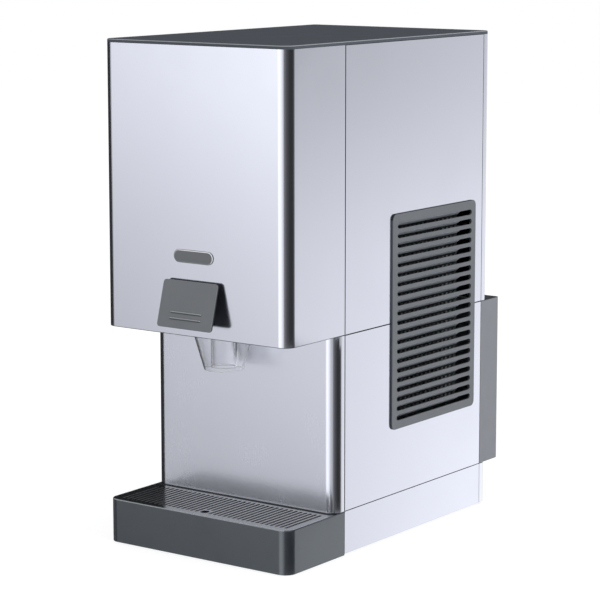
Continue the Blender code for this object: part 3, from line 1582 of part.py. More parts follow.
def evaporator():
    """Cup plate that hangs its open cups over the spray bar, on the chamber's rim."""
    low = chamber_top_z + fit_gap
    top = evaporator_top_z
    body = box("evaporator", (window_left_x, back(evaporator_front_back), low),
               (window_right_x, back(evaporator_rear_back), top), tin_paint)
    rim = box("evaporator rim", (-chamber_half_width, back(chamber_front_back), low),
              (chamber_half_width, back(chamber_rear_back), low + evaporator_flange))
    rim_cut = box("rim opening", (window_left_x + cup_wall / 2, back(evaporator_front_back + cup_wall / 2),
                                  low - overrun),
                  (window_right_x - cup_wall / 2, back(evaporator_rear_back - cup_wall / 2),
                   low + evaporator_flange + overrun))
    cut(rim, rim_cut)
    join(body, rim)
    pitch_x = (window_right_x - window_left_x - cup_wall) / cup_columns
    pitch_y = (evaporator_rear_back - evaporator_front_back - cup_wall) / cup_rows
    form = bmesh.new()
    for column in range(cup_columns):
        for row in range(cup_rows):
            x = window_left_x + cup_wall / 2 + pitch_x * (column + 0.5)
            y = back(evaporator_front_back + cup_wall / 2 + pitch_y * (row + 0.5))
            height = cup_depth + overrun
            place = Matrix.Translation((x, y, low - overrun + height / 2))
            wide = (min(pitch_x, pitch_y) - cup_wall) / math.sqrt(2)
            bmesh.ops.create_cone(form, cap_ends=True, segments=4, radius1=wide,
                                  radius2=wide * cup_taper_share, depth=height,
                                  matrix=place @ Matrix.Rotation(math.radians(45), 4, "Z"))
    mesh = bpy.data.meshes.new("cups")
    form.to_mesh(mesh)
    form.free()
    return cut(body, put("cups", mesh))


def evaporator_coil():
    """Serpentine refrigerant pipe on the cups' backs."""
    z = evaporator_top_z + coil_radius + fit_gap
    left, right = window_left_x + coil_margin, window_right_x - coil_margin
    near, far = evaporator_front_back + coil_margin, evaporator_rear_back - coil_margin
    step = (far - near) / (coil_pass_count - 1)
    points = []
    for index in range(coil_pass_count):
        y = back(near + step * index)
        start, end = (left, right) if index % 2 == 0 else (right, left)
        points += [(start, y, z), (end, y, z)]
        if index < coil_pass_count - 1:
            bulge = 1 if index % 2 == 0 else -1
            for angle in (-50, 0, 50):
                points.append((end + bulge * step / 2 * math.cos(math.radians(angle)),
                               y + step / 2 + step / 2 * math.sin(math.radians(angle)), z))
    return tube("evaporator_coil", points, coil_radius, copper_paint, 1)


def ice_curtain():
    """Hinged curtain over the window; the cubes push it open."""
    left = window_left_x + curtain_side_play
    right = window_right_x - curtain_side_play
    leaf = box("ice_curtain", (left, -curtain_thickness / 2, -curtain_length),
               (right, curtain_thickness / 2, curtain_barrel_radius / 2), white_paint)
    barrel = cylinder("curtain barrel", curtain_barrel_radius, (left, 0, 0), (right, 0, 0), 12)
    ends = cylinder("curtain pins", curtain_pin_radius,
                    (window_left_x - curtain_lug_thickness + fit_gap, 0, 0),
                    (window_right_x + curtain_lug_thickness - fit_gap, 0, 0), 12)
    place = (0, back(curtain_axis_back), curtain_axis_z)
    for piece in (barrel, ends):
        piece.location = place
        join(leaf, piece)
    leaf.location = place
    return leaf


def float_valve():
    """Valve body in the chamber's rear wall, with a fork for the arm."""
    inner = back(chamber_rear_back - chamber_wall)
    outer = back(chamber_rear_back)
    body = cylinder("float_valve", float_body_radius,
                    (float_x, inner - fit_gap - float_fork_sheet, float_axis_z),
                    (float_x, outer + float_body_radius, float_axis_z), 16, white_paint)
    bar = box("valve bridge", (float_x - float_fork_inner - float_fork_sheet,
                               inner - fit_gap - 2 * float_fork_sheet,
                               float_axis_z - float_body_radius / 2),
              (float_x + float_fork_inner + float_fork_sheet, inner - fit_gap - float_fork_sheet / 2,
               float_axis_z + float_body_radius / 2))
    join(body, bar)
    for side in (-1, 1):
        xs = sorted((float_x + side * float_fork_inner,
                     float_x + side * (float_fork_inner + float_fork_sheet * 3 / 4)))
        join(body, box("valve fork", (xs[0], back(float_axis_back) - float_barrel_radius,
                                      float_axis_z - float_barrel_radius),
                       (xs[1], inner - fit_gap - float_fork_sheet * 3 / 2,
                        float_axis_z + float_barrel_radius)))
    return body


def float_arm():
    """Wire arm on a small barrel, with a float at its end."""
    half = float_fork_inner - fit_gap
    arm = cylinder("float_arm", float_arm_radius, (0, 0, 0), (0, -float_arm_length, -float_drop), 8,
                   white_paint)
    barrel = cylinder("arm barrel", float_barrel_radius, (-half, 0, 0), (half, 0, 0), 12)
    ball = cylinder("float", float_radius, (0, -float_arm_length, -float_drop - float_height / 2),
                    (0, -float_arm_length, -float_drop + float_height / 2), 16)
    place = (float_x, back(float_axis_back), float_axis_z)
    for piece in (barrel, ball):
        piece.location = place
        join(arm, piece)
    arm.location = place
    return arm


# Services

def water_inlet_valve():
    """Solenoid valve behind the base rear panel with its threaded inlet through it."""
    inside = back(rear_face_back - sheet - fit_gap)
    body = box("water_inlet_valve", (inlet_x - inlet_body_half, inside - inlet_body_depth,
                                     inlet_z - inlet_body_half),
               (inlet_x + inlet_body_half, inside, inlet_z + inlet_body_half), white_paint)
    thread = cylinder("thread", inlet_thread_radius, (inlet_x, inside - fit_gap, inlet_z),
                      (inlet_x, back(rear_face_back) + inlet_protrusion, inlet_z), 24)
    middle_y = inside - inlet_body_depth / 2
    coil = cylinder("solenoid", inlet_coil_radius, (inlet_x, middle_y, inlet_z),
                    (inlet_x, middle_y, inlet_z + inlet_body_half + inlet_coil_height), 16)
    bore = cylinder("inlet bore", inlet_bore, (inlet_x, inside, inlet_z),
                    (inlet_x, back(rear_face_back) + inlet_protrusion + overrun, inlet_z), 20)
    join(body, thread, coil)
    return cut(body, bore)


def cable_gland():
    """Gland for the supply cable: nut inside, hexagon and dome outside, open bore."""
    inside = back(rear_face_back - sheet - fit_gap)
    outside = back(rear_face_back + gland_hex_length)
    near, far = inside - gland_nut_length, outside + gland_dome_length
    hexagon = cylinder("cable_gland", gland_hex_radius, (gland_x, back(rear_face_back + fit_gap), gland_z),
                       (gland_x, outside, gland_z), 6, black_paint)
    dome = cylinder("gland dome", gland_thread_radius, (gland_x, near, gland_z),
                    (gland_x, far, gland_z), 16)
    nut = cylinder("gland nut", gland_hex_radius, (gland_x, near + gland_nut_length / 4, gland_z),
                   (gland_x, inside, gland_z), 6)
    bore = cylinder("gland bore", gland_bore, (gland_x, near - overrun, gland_z),
                    (gland_x, far + overrun, gland_z), 12)
    join(hexagon, dome, nut)
    return cut(hexagon, bore)


head_front_panel()
head_underside_panel()
splash_panel()
side_panels()
upper_rear_panel()
base_rear_panel()
rear_cover()
top_lid()
base_pan()
feet()
drip_tray()
drip_grille()
drain_pipe()
drain_outlet()
air_grille("right_air_grille", 1)
air_grille("left_air_grille", -1)
pivot = flap_pivot()
dispense_flap(pivot)
flap_spring(pivot)
flap_hinge_pin()
flap_bracket()
microswitch()
switch_lever()
spout_cone()
ice_tube()
bin_shelf()
ice_bin()
dispense_auger()
auger_bush()
auger_gearmotor()
bulkhead()
machine_deck()
posts()
compressor()
condenser()
fan_shroud()
fan_blade()
fan_motor()
filter_drier()
suction_line()
electric_box()
spray_chamber()
ice_slide()
spray_bar()
circulation_pump()
evaporator()
evaporator_coil()
ice_curtain()
float_valve()
float_arm()
water_inlet_valve()
cable_gland()
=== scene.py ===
import json
import math
import bmesh
import bpy
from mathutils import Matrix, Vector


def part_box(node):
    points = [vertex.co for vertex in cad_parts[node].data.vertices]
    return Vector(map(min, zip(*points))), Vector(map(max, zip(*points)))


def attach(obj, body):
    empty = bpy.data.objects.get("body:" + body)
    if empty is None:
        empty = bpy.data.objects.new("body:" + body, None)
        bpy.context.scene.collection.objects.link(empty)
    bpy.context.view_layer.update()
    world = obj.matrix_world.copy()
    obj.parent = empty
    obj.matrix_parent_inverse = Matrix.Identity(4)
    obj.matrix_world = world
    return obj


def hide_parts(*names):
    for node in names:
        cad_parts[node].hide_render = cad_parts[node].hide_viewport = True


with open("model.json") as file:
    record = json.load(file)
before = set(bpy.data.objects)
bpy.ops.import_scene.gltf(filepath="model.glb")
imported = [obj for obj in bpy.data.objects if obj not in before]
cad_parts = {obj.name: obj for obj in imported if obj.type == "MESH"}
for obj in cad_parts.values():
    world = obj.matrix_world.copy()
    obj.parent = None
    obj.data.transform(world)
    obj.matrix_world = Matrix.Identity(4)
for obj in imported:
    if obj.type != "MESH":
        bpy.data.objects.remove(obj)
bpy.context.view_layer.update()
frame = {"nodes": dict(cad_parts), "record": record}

nodes = frame["nodes"]

# Camera
# A long lens at the photograph's angle: in front of the dispenser, to its right, and a little above
# its lid. The small shift keeps the frame where the photograph has it.
eye = bpy.data.cameras.new("photo camera")
eye.lens = 140.32
eye.sensor_width = 36
eye.shift_x = -0.0088
eye.shift_y = -0.05
camera = bpy.data.objects.new("photo camera", eye)
looking_down, turned = 8.733, 35.947
camera.location = (2.170, -2.9924, 0.9788)
camera.rotation_euler = (math.radians(90 - looking_down), 0, math.radians(turned))
bpy.context.scene.collection.objects.link(camera)
bpy.context.scene.camera = camera
bpy.context.scene.view_settings.view_transform = "Standard"

# Room
# Plain white all round, as the photograph has it. What polished steel mirrors is a studio: a bright
# wall in front on the left, a paler one behind on the right, darker air behind, and a grey ground.
white = (1, 1, 1, 1)
room = bpy.data.worlds.new("studio")
room.use_nodes = True
bpy.context.scene.world = room
tree = room.node_tree
tree.nodes.clear()


def wire(tree, source, target):
    tree.links.new(source, target)


def calculate(tree, operation, first, second=None, third=None):
    """A Math node: each of its inputs is a socket or a number."""
    node = tree.nodes.new("ShaderNodeMath")
    node.operation = operation
    for place, value in enumerate((first, second, third)):
        if value is None:
            continue
        if isinstance(value, (int, float)):
            node.inputs[place].default_value = value
        else:
            wire(tree, value, node.inputs[place])
    return node.outputs[0]


def ramp(tree, source, stops):
    """A grey ColorRamp from (place, level) stops."""
    node = tree.nodes.new("ShaderNodeValToRGB")
    bar = node.color_ramp
    while len(bar.elements) > 1:
        bar.elements.remove(bar.elements[-1])
    for index, (place, level) in enumerate(stops):
        stop = bar.elements[0] if index == 0 else bar.elements.new(place)
        stop.position = place
        stop.color = (level, level, level, 1)
    wire(tree, source, node.inputs["Fac"])
    return node.outputs["Color"]


def blend(tree, share, first, second):
    """One colour, or one level, turning into another: each is a socket or a colour."""
    node = tree.nodes.new("ShaderNodeMix")
    node.data_type = "RGBA"
    wire(tree, share, node.inputs["Factor"])
    for socket, value in ((node.inputs[6], first), (node.inputs[7], second)):
        if isinstance(value, tuple):
            socket.default_value = value
        else:
            wire(tree, value, socket)
    return node.outputs[2]


direction = tree.nodes.new("ShaderNodeTexCoord")
axes = tree.nodes.new("ShaderNodeSeparateXYZ")
wire(tree, direction.outputs["Generated"], axes.inputs[0])
bearing = calculate(tree, "ARCTAN2", axes.outputs["Y"], axes.outputs["X"])
compass = calculate(tree, "MULTIPLY_ADD", bearing, 0.5 / math.pi, 0.5)
climb = calculate(tree, "MULTIPLY", calculate(tree, "ARCSINE", axes.outputs["Z"]), 180 / math.pi)


def walls(stops):
    """The room's grey right round, from (bearing, level) stops, -180 to 180 degrees."""
    return ramp(tree, compass, [((degrees + 180) / 360, level) for degrees, level in stops])


def climbing(span, start_share, end_share):
    """0 before the first share of a span of climb in degrees, and 1 past the second."""
    return ramp(tree, calculate(tree, "DIVIDE", climb, span), [(start_share, 0.0), (end_share, 1.0)])


level_walls = walls([
    (-180, 0.50), (-160, 0.45), (-145, 0.60), (-136, 0.74), (-131, 0.90), (-126, 1.26), (-120, 1.50),
    (-108, 1.45), (-95, 1.15), (-86, 1.05), (-78, 0.85), (-66, 0.60), (-50, 0.50), (20, 0.46),
    (44, 0.36), (54, 0.46), (60, 0.74), (75, 0.80), (100, 0.60), (120, 0.45), (150, 0.45), (180, 0.50)])
middle_walls = walls([
    (-180, 0.48), (-166, 0.30), (-158, 0.08), (-144, 0.08), (-136, 0.48), (-131, 0.56), (-126, 0.82),
    (-119, 1.15), (-108, 1.35), (-95, 1.15), (-86, 1.05), (-78, 0.82), (-66, 0.58), (-50, 0.50),
    (20, 0.44), (44, 0.58), (54, 0.785), (60, 1.10), (75, 1.00), (100, 0.60), (120, 0.45),
    (150, 0.45), (180, 0.48)])
low_walls = walls([
    (-180, 0.45), (-166, 0.30), (-158, 0.05), (-144, 0.05), (-136, 0.16), (-131, 0.17), (-126, 0.28),
    (-114, 0.85), (-104, 1.25), (-88, 1.15), (-78, 0.80), (-66, 0.55), (-50, 0.48), (20, 0.48),
    (46, 0.58), (54, 0.72), (60, 1.40), (75, 1.20), (100, 0.60), (120, 0.45), (150, 0.42), (180, 0.45)])
raised_walls = walls([
    (-180, 0.50), (-150, 0.50), (-136, 0.60), (-131, 0.72), (-126, 0.90), (-112, 1.00), (-95, 1.00),
    (-80, 0.90), (-50, 0.62), (20, 0.42), (44, 0.30), (54, 0.36), (60, 0.60), (85, 0.45), (105, 0.10),
    (115, 0.03), (150, 0.03), (165, 0.14), (180, 0.50)])
high_walls = walls([
    (-180, 0.55), (-150, 0.75), (-136, 1.20), (-131, 1.60), (-126, 2.20), (-112, 2.20), (-95, 1.30),
    (-80, 0.95), (-50, 0.62), (20, 0.42), (44, 0.30), (54, 0.36), (60, 0.60), (85, 0.45), (105, 0.10),
    (115, 0.03), (150, 0.03), (165, 0.14), (180, 0.50)])
ceiling = (0.80, 0.80, 0.80, 1)
ground = (0.45, 0.45, 0.455, 1)
mirrored = level_walls
for span, start_share, end_share, walls_there in (
        (-25, 0.14, 0.34, middle_walls), (-25, 0.42, 0.70, low_walls), (10, 0.0, 0.18, raised_walls),
        (20, 0.50, 0.62, high_walls), (90, 0.30, 0.60, ceiling), (-90, 0.28, 0.42, ground)):
    mirrored = blend(tree, climbing(span, start_share, end_share), mirrored, walls_there)
ray = tree.nodes.new("ShaderNodeLightPath")
plain_white = tree.nodes.new("ShaderNodeBackground")
studio_walls = tree.nodes.new("ShaderNodeBackground")
level_light = tree.nodes.new("ShaderNodeBackground")
level_light.inputs["Strength"].default_value = 0.70
wire(tree, mirrored, studio_walls.inputs["Color"])
plain_white.inputs["Color"].default_value = white
level_light.inputs["Color"].default_value = white
lit = tree.nodes.new("ShaderNodeMixShader")
wire(tree, calculate(tree, "MAXIMUM", ray.outputs["Is Glossy Ray"], ray.outputs["Is Transmission Ray"]),
     lit.inputs["Fac"])
wire(tree, level_light.outputs[0], lit.inputs[1])
wire(tree, studio_walls.outputs[0], lit.inputs[2])
seen = tree.nodes.new("ShaderNodeMixShader")
straight = calculate(tree, "MULTIPLY", ray.outputs["Is Transmission Ray"],
                     calculate(tree, "LESS_THAN", ray.outputs["Glossy Depth"], 0.5))
wire(tree, calculate(tree, "MAXIMUM", ray.outputs["Is Camera Ray"], straight), seen.inputs["Fac"])
wire(tree, lit.outputs[0], seen.inputs[1])
wire(tree, plain_white.outputs[0], seen.inputs[2])
result = tree.nodes.new("ShaderNodeOutputWorld")
wire(tree, seen.outputs[0], result.inputs["Surface"])


# Lamps
# Two large soft boxes: the main one from the right, a weak one high on the front left. The steel
# doesn't mirror them, so no lamp's shape shows on it.
def soft_box(name, place, aim, size, power):
    lamp = bpy.data.lights.new(name, "AREA")
    lamp.shape = "SQUARE"
    lamp.size = size
    lamp.energy = power
    holder = bpy.data.objects.new(name, lamp)
    holder.location = place
    course = [a - b for a, b in zip(aim, place)]
    level = math.hypot(course[0], course[1])
    holder.rotation_euler = (math.atan2(level, -course[2]), 0,
                             math.atan2(course[1], course[0]) - math.pi / 2)
    holder.visible_glossy = False
    bpy.context.scene.collection.objects.link(holder)


middle_of_casing = (0, 0, 0.4)
soft_box("right soft box", (3.4, 0.2, 1.6), middle_of_casing, 2.6, 62)
soft_box("front soft box", (-0.6, -3.6, 2.4), middle_of_casing, 2.2, 10)


# Floor
# A pale counter top. It shows white to the camera, keeps the dispenser's soft shadow, and is clear
# from below, so that the underside can be looked at.
def fresh_material(name):
    material = bpy.data.materials.new(name)
    material.use_nodes = True
    return material, material.node_tree, material.node_tree.nodes["Principled BSDF"]


floor_size = 14
floor_play = 0.0002
bpy.ops.object.select_all(action="DESELECT")
bpy.ops.mesh.primitive_plane_add(size=floor_size, location=(0, 0, -floor_play))
floor = bpy.context.active_object
floor.name = "floor"
floor.visible_glossy = False
counter, tree, lit_counter = fresh_material("counter top")
seen_counter = tree.nodes.new("ShaderNodeBsdfPrincipled")
for shader, grey in ((lit_counter, 0.80), (seen_counter, 0.34)):
    shader.inputs["Base Color"].default_value = (grey, grey, grey, 1)
    shader.inputs["Roughness"].default_value = 1.0
    shader.inputs["Specular IOR Level"].default_value = 0.0
seen_counter.inputs["Emission Color"].default_value = white
seen_counter.inputs["Emission Strength"].default_value = 0.80
ray = tree.nodes.new("ShaderNodeLightPath")
which_side = tree.nodes.new("ShaderNodeNewGeometry")
clear = tree.nodes.new("ShaderNodeBsdfTransparent")
by_ray = tree.nodes.new("ShaderNodeMixShader")
wire(tree, calculate(tree, "MAXIMUM", ray.outputs["Is Camera Ray"], ray.outputs["Is Transmission Ray"]),
     by_ray.inputs["Fac"])
wire(tree, lit_counter.outputs[0], by_ray.inputs[1])
wire(tree, seen_counter.outputs[0], by_ray.inputs[2])
by_side = tree.nodes.new("ShaderNodeMixShader")
bent = calculate(tree, "MULTIPLY", ray.outputs["Is Transmission Ray"],
                 calculate(tree, "GREATER_THAN", ray.outputs["Glossy Depth"], 0.5))
wire(tree, calculate(tree, "MAXIMUM", which_side.outputs["Backfacing"], bent), by_side.inputs["Fac"])
wire(tree, by_ray.outputs[0], by_side.inputs[1])
wire(tree, clear.outputs[0], by_side.inputs[2])
wire(tree, by_side.outputs[0], tree.nodes["Material Output"].inputs["Surface"])
floor.data.materials.append(counter)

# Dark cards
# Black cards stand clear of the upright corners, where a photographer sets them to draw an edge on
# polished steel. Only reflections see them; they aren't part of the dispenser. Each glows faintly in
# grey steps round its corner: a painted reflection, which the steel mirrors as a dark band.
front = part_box("head_front_panel")[0][1]
half_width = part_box("head_front_panel")[1][0]
splash_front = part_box("splash_panel")[0][1]
corner_radius = 0.018
corner_x = half_width - corner_radius


def card(name, centre, heights, bearings, radius, levels):
    """A piece of a cylinder round an upright corner, from one bearing to another, in degrees."""
    (low, high), (start, end) = heights, bearings
    turn_of_card = (end - start) % 360
    bpy.ops.object.select_all(action="DESELECT")
    bpy.ops.mesh.primitive_cylinder_add(vertices=180, radius=radius, depth=high - low,
                                        end_fill_type="NOTHING", location=(*centre, (low + high) / 2))
    piece = bpy.context.active_object
    piece.name = name
    bpy.ops.object.transform_apply(location=True, rotation=True, scale=True)
    bpy.ops.object.mode_set(mode="EDIT")
    bpy.ops.mesh.select_mode(type="FACE")
    bpy.ops.mesh.select_all(action="DESELECT")
    form = bmesh.from_edit_mesh(piece.data)
    for face in form.faces:
        middle = face.calc_center_median()
        bearing = math.degrees(math.atan2(middle.y - centre[1], middle.x - centre[0]))
        face.select_set((bearing - start) % 360 > turn_of_card)
    bmesh.update_edit_mesh(piece.data)
    bpy.ops.mesh.delete(type="FACE")
    bpy.ops.object.mode_set(mode="OBJECT")
    # The card glows from near black to grey across its bearings: a painted reflection, not a lamp.
    painted_reflection_glow = bpy.data.materials.new(name + " felt")
    painted_reflection_glow.use_nodes = True
    tree = painted_reflection_glow.node_tree
    tree.nodes.clear()
    place = tree.nodes.new("ShaderNodeTexCoord")
    offset = tree.nodes.new("ShaderNodeVectorMath")
    offset.operation = "SUBTRACT"
    wire(tree, place.outputs["Object"], offset.inputs[0])
    offset.inputs[1].default_value = (*centre, 0)
    axes = tree.nodes.new("ShaderNodeSeparateXYZ")
    wire(tree, offset.outputs[0], axes.inputs[0])
    bearing = calculate(tree, "MULTIPLY",
                        calculate(tree, "ARCTAN2", axes.outputs["Y"], axes.outputs["X"]), 180 / math.pi)
    from_start = calculate(tree, "WRAP", calculate(tree, "SUBTRACT", bearing, start), 360, 0)
    stops = [(min(max((degrees - start) / turn_of_card, 0), 1), level) for degrees, level in levels]
    glow = tree.nodes.new("ShaderNodeEmission")
    wire(tree, ramp(tree, calculate(tree, "DIVIDE", from_start, turn_of_card), stops), glow.inputs["Color"])
    wire(tree, glow.outputs[0], tree.nodes.new("ShaderNodeOutputMaterial").inputs["Surface"])
    piece.data.materials.append(painted_reflection_glow)
    piece.visible_camera = False
    piece.visible_diffuse = False
    piece.visible_transmission = False
    piece.visible_volume_scatter = False
    piece.visible_shadow = False


head_heights, tray_heights = (0.322, 0.81), (-0.03, 0.052)
splash_heights, lower_side_heights = (0.036, 0.321), (0.036, 0.304)
round_the_head = [(-66, 0.30), (-55, 0.17), (-39, 0.08), (-12, 0.032), (18, 0.032), (31, 0.09), (42, 0.26)]
round_the_splash = [(-50, 0.30), (-41, 0.17), (-28, 0.08), (-6, 0.032), (19, 0.032), (29, 0.09), (38, 0.26)]
all_black = [(138, 0.03)]
# Each row: name, right or left corner, the front it stands round, heights, bearings, radius, levels.
cards = (
    ("head near card", 1, front, head_heights, (-66, 42), 0.120, round_the_head),
    ("tray near card", 1, front, tray_heights, (-66, 42), 0.120, round_the_head),
    ("splash near card", 1, splash_front, splash_heights, (-50, 14), 0.140, round_the_splash),
    ("splash side near card", 1, splash_front, lower_side_heights, (14, 38), 0.140, round_the_splash),
    ("head far card", -1, front, head_heights, (138, -141), 0.125, all_black),
    ("tray far card", -1, front, tray_heights, (138, -172), 0.125, all_black),
    ("splash far card", -1, splash_front, splash_heights, (138, -136), 0.125, all_black))
for name, side, face, heights, bearings, radius, levels in cards:
    card(name, (side * corner_x, face + corner_radius), heights, bearings, radius, levels)

# Head front panel
# One sheet of stainless steel, 1.2 mm, folded round the ice bin with large rounded corners. It hangs
# on the frame behind it, and its front has the opening that the flap's lugs and presser go through.
sheet = 0.0012
seam = 0.0004
fit_gap = 0.0003
fine_edge = 0.0003
seam_edge = front + 0.146 - seam
rear_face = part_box("upper_rear_panel")[1][1]
head_bottom, lid_seat = 0.344, 0.782
opening_half_width, opening_low, opening_high, overrun = 0.036, 0.378, 0.424, 0.010
corner_steps = 16
fold_round = 0.0010
seam_shade = 0.0009


def new_group(name, inputs, outputs):
    """A shader node group with named inputs, numbers or triples, and named number outputs."""
    group = bpy.data.node_groups.new(name, "ShaderNodeTree")
    for label, value in inputs:
        kind = "NodeSocketVector" if isinstance(value, tuple) else "NodeSocketFloat"
        socket = group.interface.new_socket(name=label, in_out="INPUT", socket_type=kind)
        socket.default_value = value
    for label in outputs:
        group.interface.new_socket(name=label, in_out="OUTPUT", socket_type="NodeSocketFloat")
    return group, group.nodes.new("NodeGroupInput"), group.nodes.new("NodeGroupOutput")


def noise(tree, vector, scale, detail, roughness):
    """Soft noise: its scale is a socket or a number."""
    node = tree.nodes.new("ShaderNodeTexNoise")
    node.inputs["Detail"].default_value = detail
    node.inputs["Roughness"].default_value = roughness
    if isinstance(scale, (int, float)):
        node.inputs["Scale"].default_value = scale
    else:
        wire(tree, scale, node.inputs["Scale"])
    wire(tree, vector, node.inputs["Vector"])
    return node.outputs["Fac"]


# Rolled sheet: fine lines along one direction.
rolled, given, out = new_group("rolled sheet grain", [("Stretch", (900.0, 900.0, 9.0))], ["Lines"])
place = rolled.nodes.new("ShaderNodeTexCoord")
stretched = rolled.nodes.new("ShaderNodeVectorMath")
stretched.operation = "MULTIPLY"
wire(rolled, place.outputs["Object"], stretched.inputs[0])
wire(rolled, given.outputs["Stretch"], stretched.inputs[1])
wire(rolled, noise(rolled, stretched.outputs[0], 1.0, 3.0, 0.6), out.inputs["Lines"])

# Smudges: where hands and cloths have been, in soft patches.
smudges, given, out = new_group("wiped smudges", [("Scale", 14.0), ("Amount", 0.5)], ["Mask"])
place = smudges.nodes.new("ShaderNodeTexCoord")
patches = noise(smudges, place.outputs["Object"], given.outputs["Scale"], 4.0, 0.55)
soft = ramp(smudges, patches, [(0.45, 0.0), (0.70, 1.0)])
wire(smudges, calculate(smudges, "MULTIPLY", soft, given.outputs["Amount"]), out.inputs["Mask"])


def put_group(tree, group, **values):
    node = tree.nodes.new("ShaderNodeGroup")
    node.node_tree = group
    for label, value in values.items():
        node.inputs[label].default_value = value
    return node


def bump(tree, height, strength, distance):
    node = tree.nodes.new("ShaderNodeBump")
    node.inputs["Strength"].default_value = strength
    node.inputs["Distance"].default_value = distance
    wire(tree, height, node.inputs["Height"])
    return node.outputs["Normal"]


def tint(tree, share, low, high):
    """A colour that moves from low to high with share."""
    return blend(tree, share, (*low, 1), (*high, 1))


def sheet_steel(name, low, high, roughness, stretch):
    """Bare metal: fine lines in its tone, gloss and surface, and faint smudges in its gloss."""
    line_depth, line_gloss = 0.00002, 0.04
    material, tree, shader = fresh_material(name)
    shader.inputs["Metallic"].default_value = 1.0
    grain = put_group(tree, rolled, Stretch=stretch)
    marks = put_group(tree, smudges, Scale=11.0, Amount=0.03)
    wire(tree, tint(tree, grain.outputs["Lines"], low, high), shader.inputs["Base Color"])
    rough = calculate(tree, "MULTIPLY_ADD", grain.outputs["Lines"], line_gloss, roughness - line_gloss / 2)
    wire(tree, calculate(tree, "ADD", rough, marks.outputs["Mask"]), shader.inputs["Roughness"])
    wire(tree, bump(tree, grain.outputs["Lines"], 0.05, line_depth), shader.inputs["Normal"])
    return material


stainless = ((0.785, 0.808, 0.915), (0.815, 0.839, 0.947))
rolling_lines = (2600.0, 2600.0, 12.0)
steel = sheet_steel("bright stainless sheet", *stainless, 0.15, rolling_lines)


def choose(piece):
    """Select one piece, and nothing else."""
    bpy.ops.object.select_all(action="DESELECT")
    piece.select_set(True)
    bpy.context.view_layer.objects.active = piece


def pick(piece, kind, test):
    """Go into edit mode with just those edges or faces selected whose place passes the test."""
    choose(piece)
    bpy.ops.object.mode_set(mode="EDIT")
    bpy.ops.mesh.select_mode(type=kind)
    bpy.ops.mesh.select_all(action="DESELECT")
    form = bmesh.from_edit_mesh(piece.data)
    for item in (form.edges if kind == "EDGE" else form.faces):
        if kind == "EDGE":
            chosen = test(item.verts[0].co, item.verts[1].co)
        else:
            chosen = test(item.calc_center_median(), item.normal)
        if chosen:
            item.select_set(True)
    form.select_flush_mode()
    bmesh.update_edit_mesh(piece.data)


def done():
    bpy.ops.object.mode_set(mode="OBJECT")


def near(first, second):
    return abs(first - second) < 0.00002


def block(name, low, high):
    bpy.ops.object.select_all(action="DESELECT")
    bpy.ops.mesh.primitive_cube_add(size=1, location=[(a + b) / 2 for a, b in zip(low, high)],
                                    scale=[b - a for a, b in zip(low, high)])
    piece = bpy.context.active_object
    piece.name = name
    bpy.ops.object.transform_apply(location=True, rotation=True, scale=True)
    return piece


def round_edges(piece, radius, segments, test):
    """Round the edges whose two ends pass the test."""
    pick(piece, "EDGE", test)
    bpy.ops.mesh.bevel(offset=radius, segments=segments, affect="EDGES")
    done()


def round_uprights(piece, y, radius, segments):
    """Round the two upright edges that stand at one depth."""
    round_edges(piece, radius, segments, lambda a, b: near(a.y, y) and near(b.y, y) and near(a.x, b.x)
                and not near(a.z, b.z))


def finish_with(piece, kind, **settings):
    """Add a modifier with these settings and apply it."""
    modifier = piece.modifiers.new(kind.lower(), kind)
    for key, value in settings.items():
        setattr(modifier, key, value)
    choose(piece)
    bpy.ops.object.modifier_apply(modifier=modifier.name)


def soften(piece, width, segments=2, angle=35):
    """A fine broken edge all over, and smooth shading that keeps the flats flat."""
    if width:
        finish_with(piece, "BEVEL", width=width, segments=segments, limit_method="ANGLE",
                    angle_limit=math.radians(angle), use_clamp_overlap=True)
    choose(piece)
    bpy.ops.object.shade_smooth_by_angle(angle=math.radians(angle))
    finish_with(piece, "WEIGHTED_NORMAL", mode="FACE_AREA", weight=50, keep_sharp=True)


def dress(piece, material, slot_name, body, *stands_for):
    """Give a piece its finish, unless it has two painted on, its body, and the nodes it stands for."""
    if len(piece.data.materials) < 2:
        piece.data.materials.clear()
        piece.data.materials.append(material)
    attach(piece, body)
    if stands_for:
        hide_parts(*stands_for)


def cut_away(piece, *tools):
    for tool in tools:
        finish_with(piece, "BOOLEAN", operation="DIFFERENCE", object=tool, solver="EXACT")
        bpy.data.objects.remove(tool)


def folded_sheet(name, y_near, y_far, z_low, z_high, radius, open_far):
    """A sheet folded round two uprights: open at the top, the bottom and one end."""
    piece = block(name, (-half_width, y_near, z_low), (half_width, y_far, z_high))
    face, mouth = (y_near, y_far) if open_far else (y_far, y_near)
    round_uprights(piece, face, radius, corner_steps)
    pick(piece, "FACE", lambda centre, normal: abs(normal.z) > 0.9 or near(centre.y, mouth))
    bpy.ops.mesh.delete(type="FACE")
    done()
    finish_with(piece, "SOLIDIFY", thickness=sheet, offset=-1, use_even_offset=True)
    return piece


def paint_faces(piece, main, *others):
    """The main finish goes all over, and each other one on the faces that pass its test."""
    piece.data.materials.clear()
    for material in (main, *(other for other, test in others)):
        piece.data.materials.append(material)
    for face in piece.data.polygons:
        face.material_index = 0
        for index, (other, test) in enumerate(others):
            if test(face):
                face.material_index = index + 1


def round_border(piece, level, radius):
    """Round the outer edge that runs along the front and the sides at one height."""
    def on_border(place):
        from_corner = math.dist((abs(place.x), place.y), (corner_x, front + corner_radius))
        return near(abs(place.x), half_width) or near(place.y, front) or near(from_corner, corner_radius)
    round_edges(piece, radius, 5, lambda a, b: near(a.z, level) and near(b.z, level)
                and on_border(a) and on_border(b))


def turn_in_seam_edge(piece):
    """Break the outer edge along the side seam, where one sheet's end meets the next."""
    round_edges(piece, fold_round, 3, lambda a, b: near(abs(a.x), half_width)
                and near(abs(b.x), half_width) and near(a.y, seam_edge) and near(b.y, seam_edge))


def at_side_seam(face):
    return face.center.y > seam_edge - seam_shade


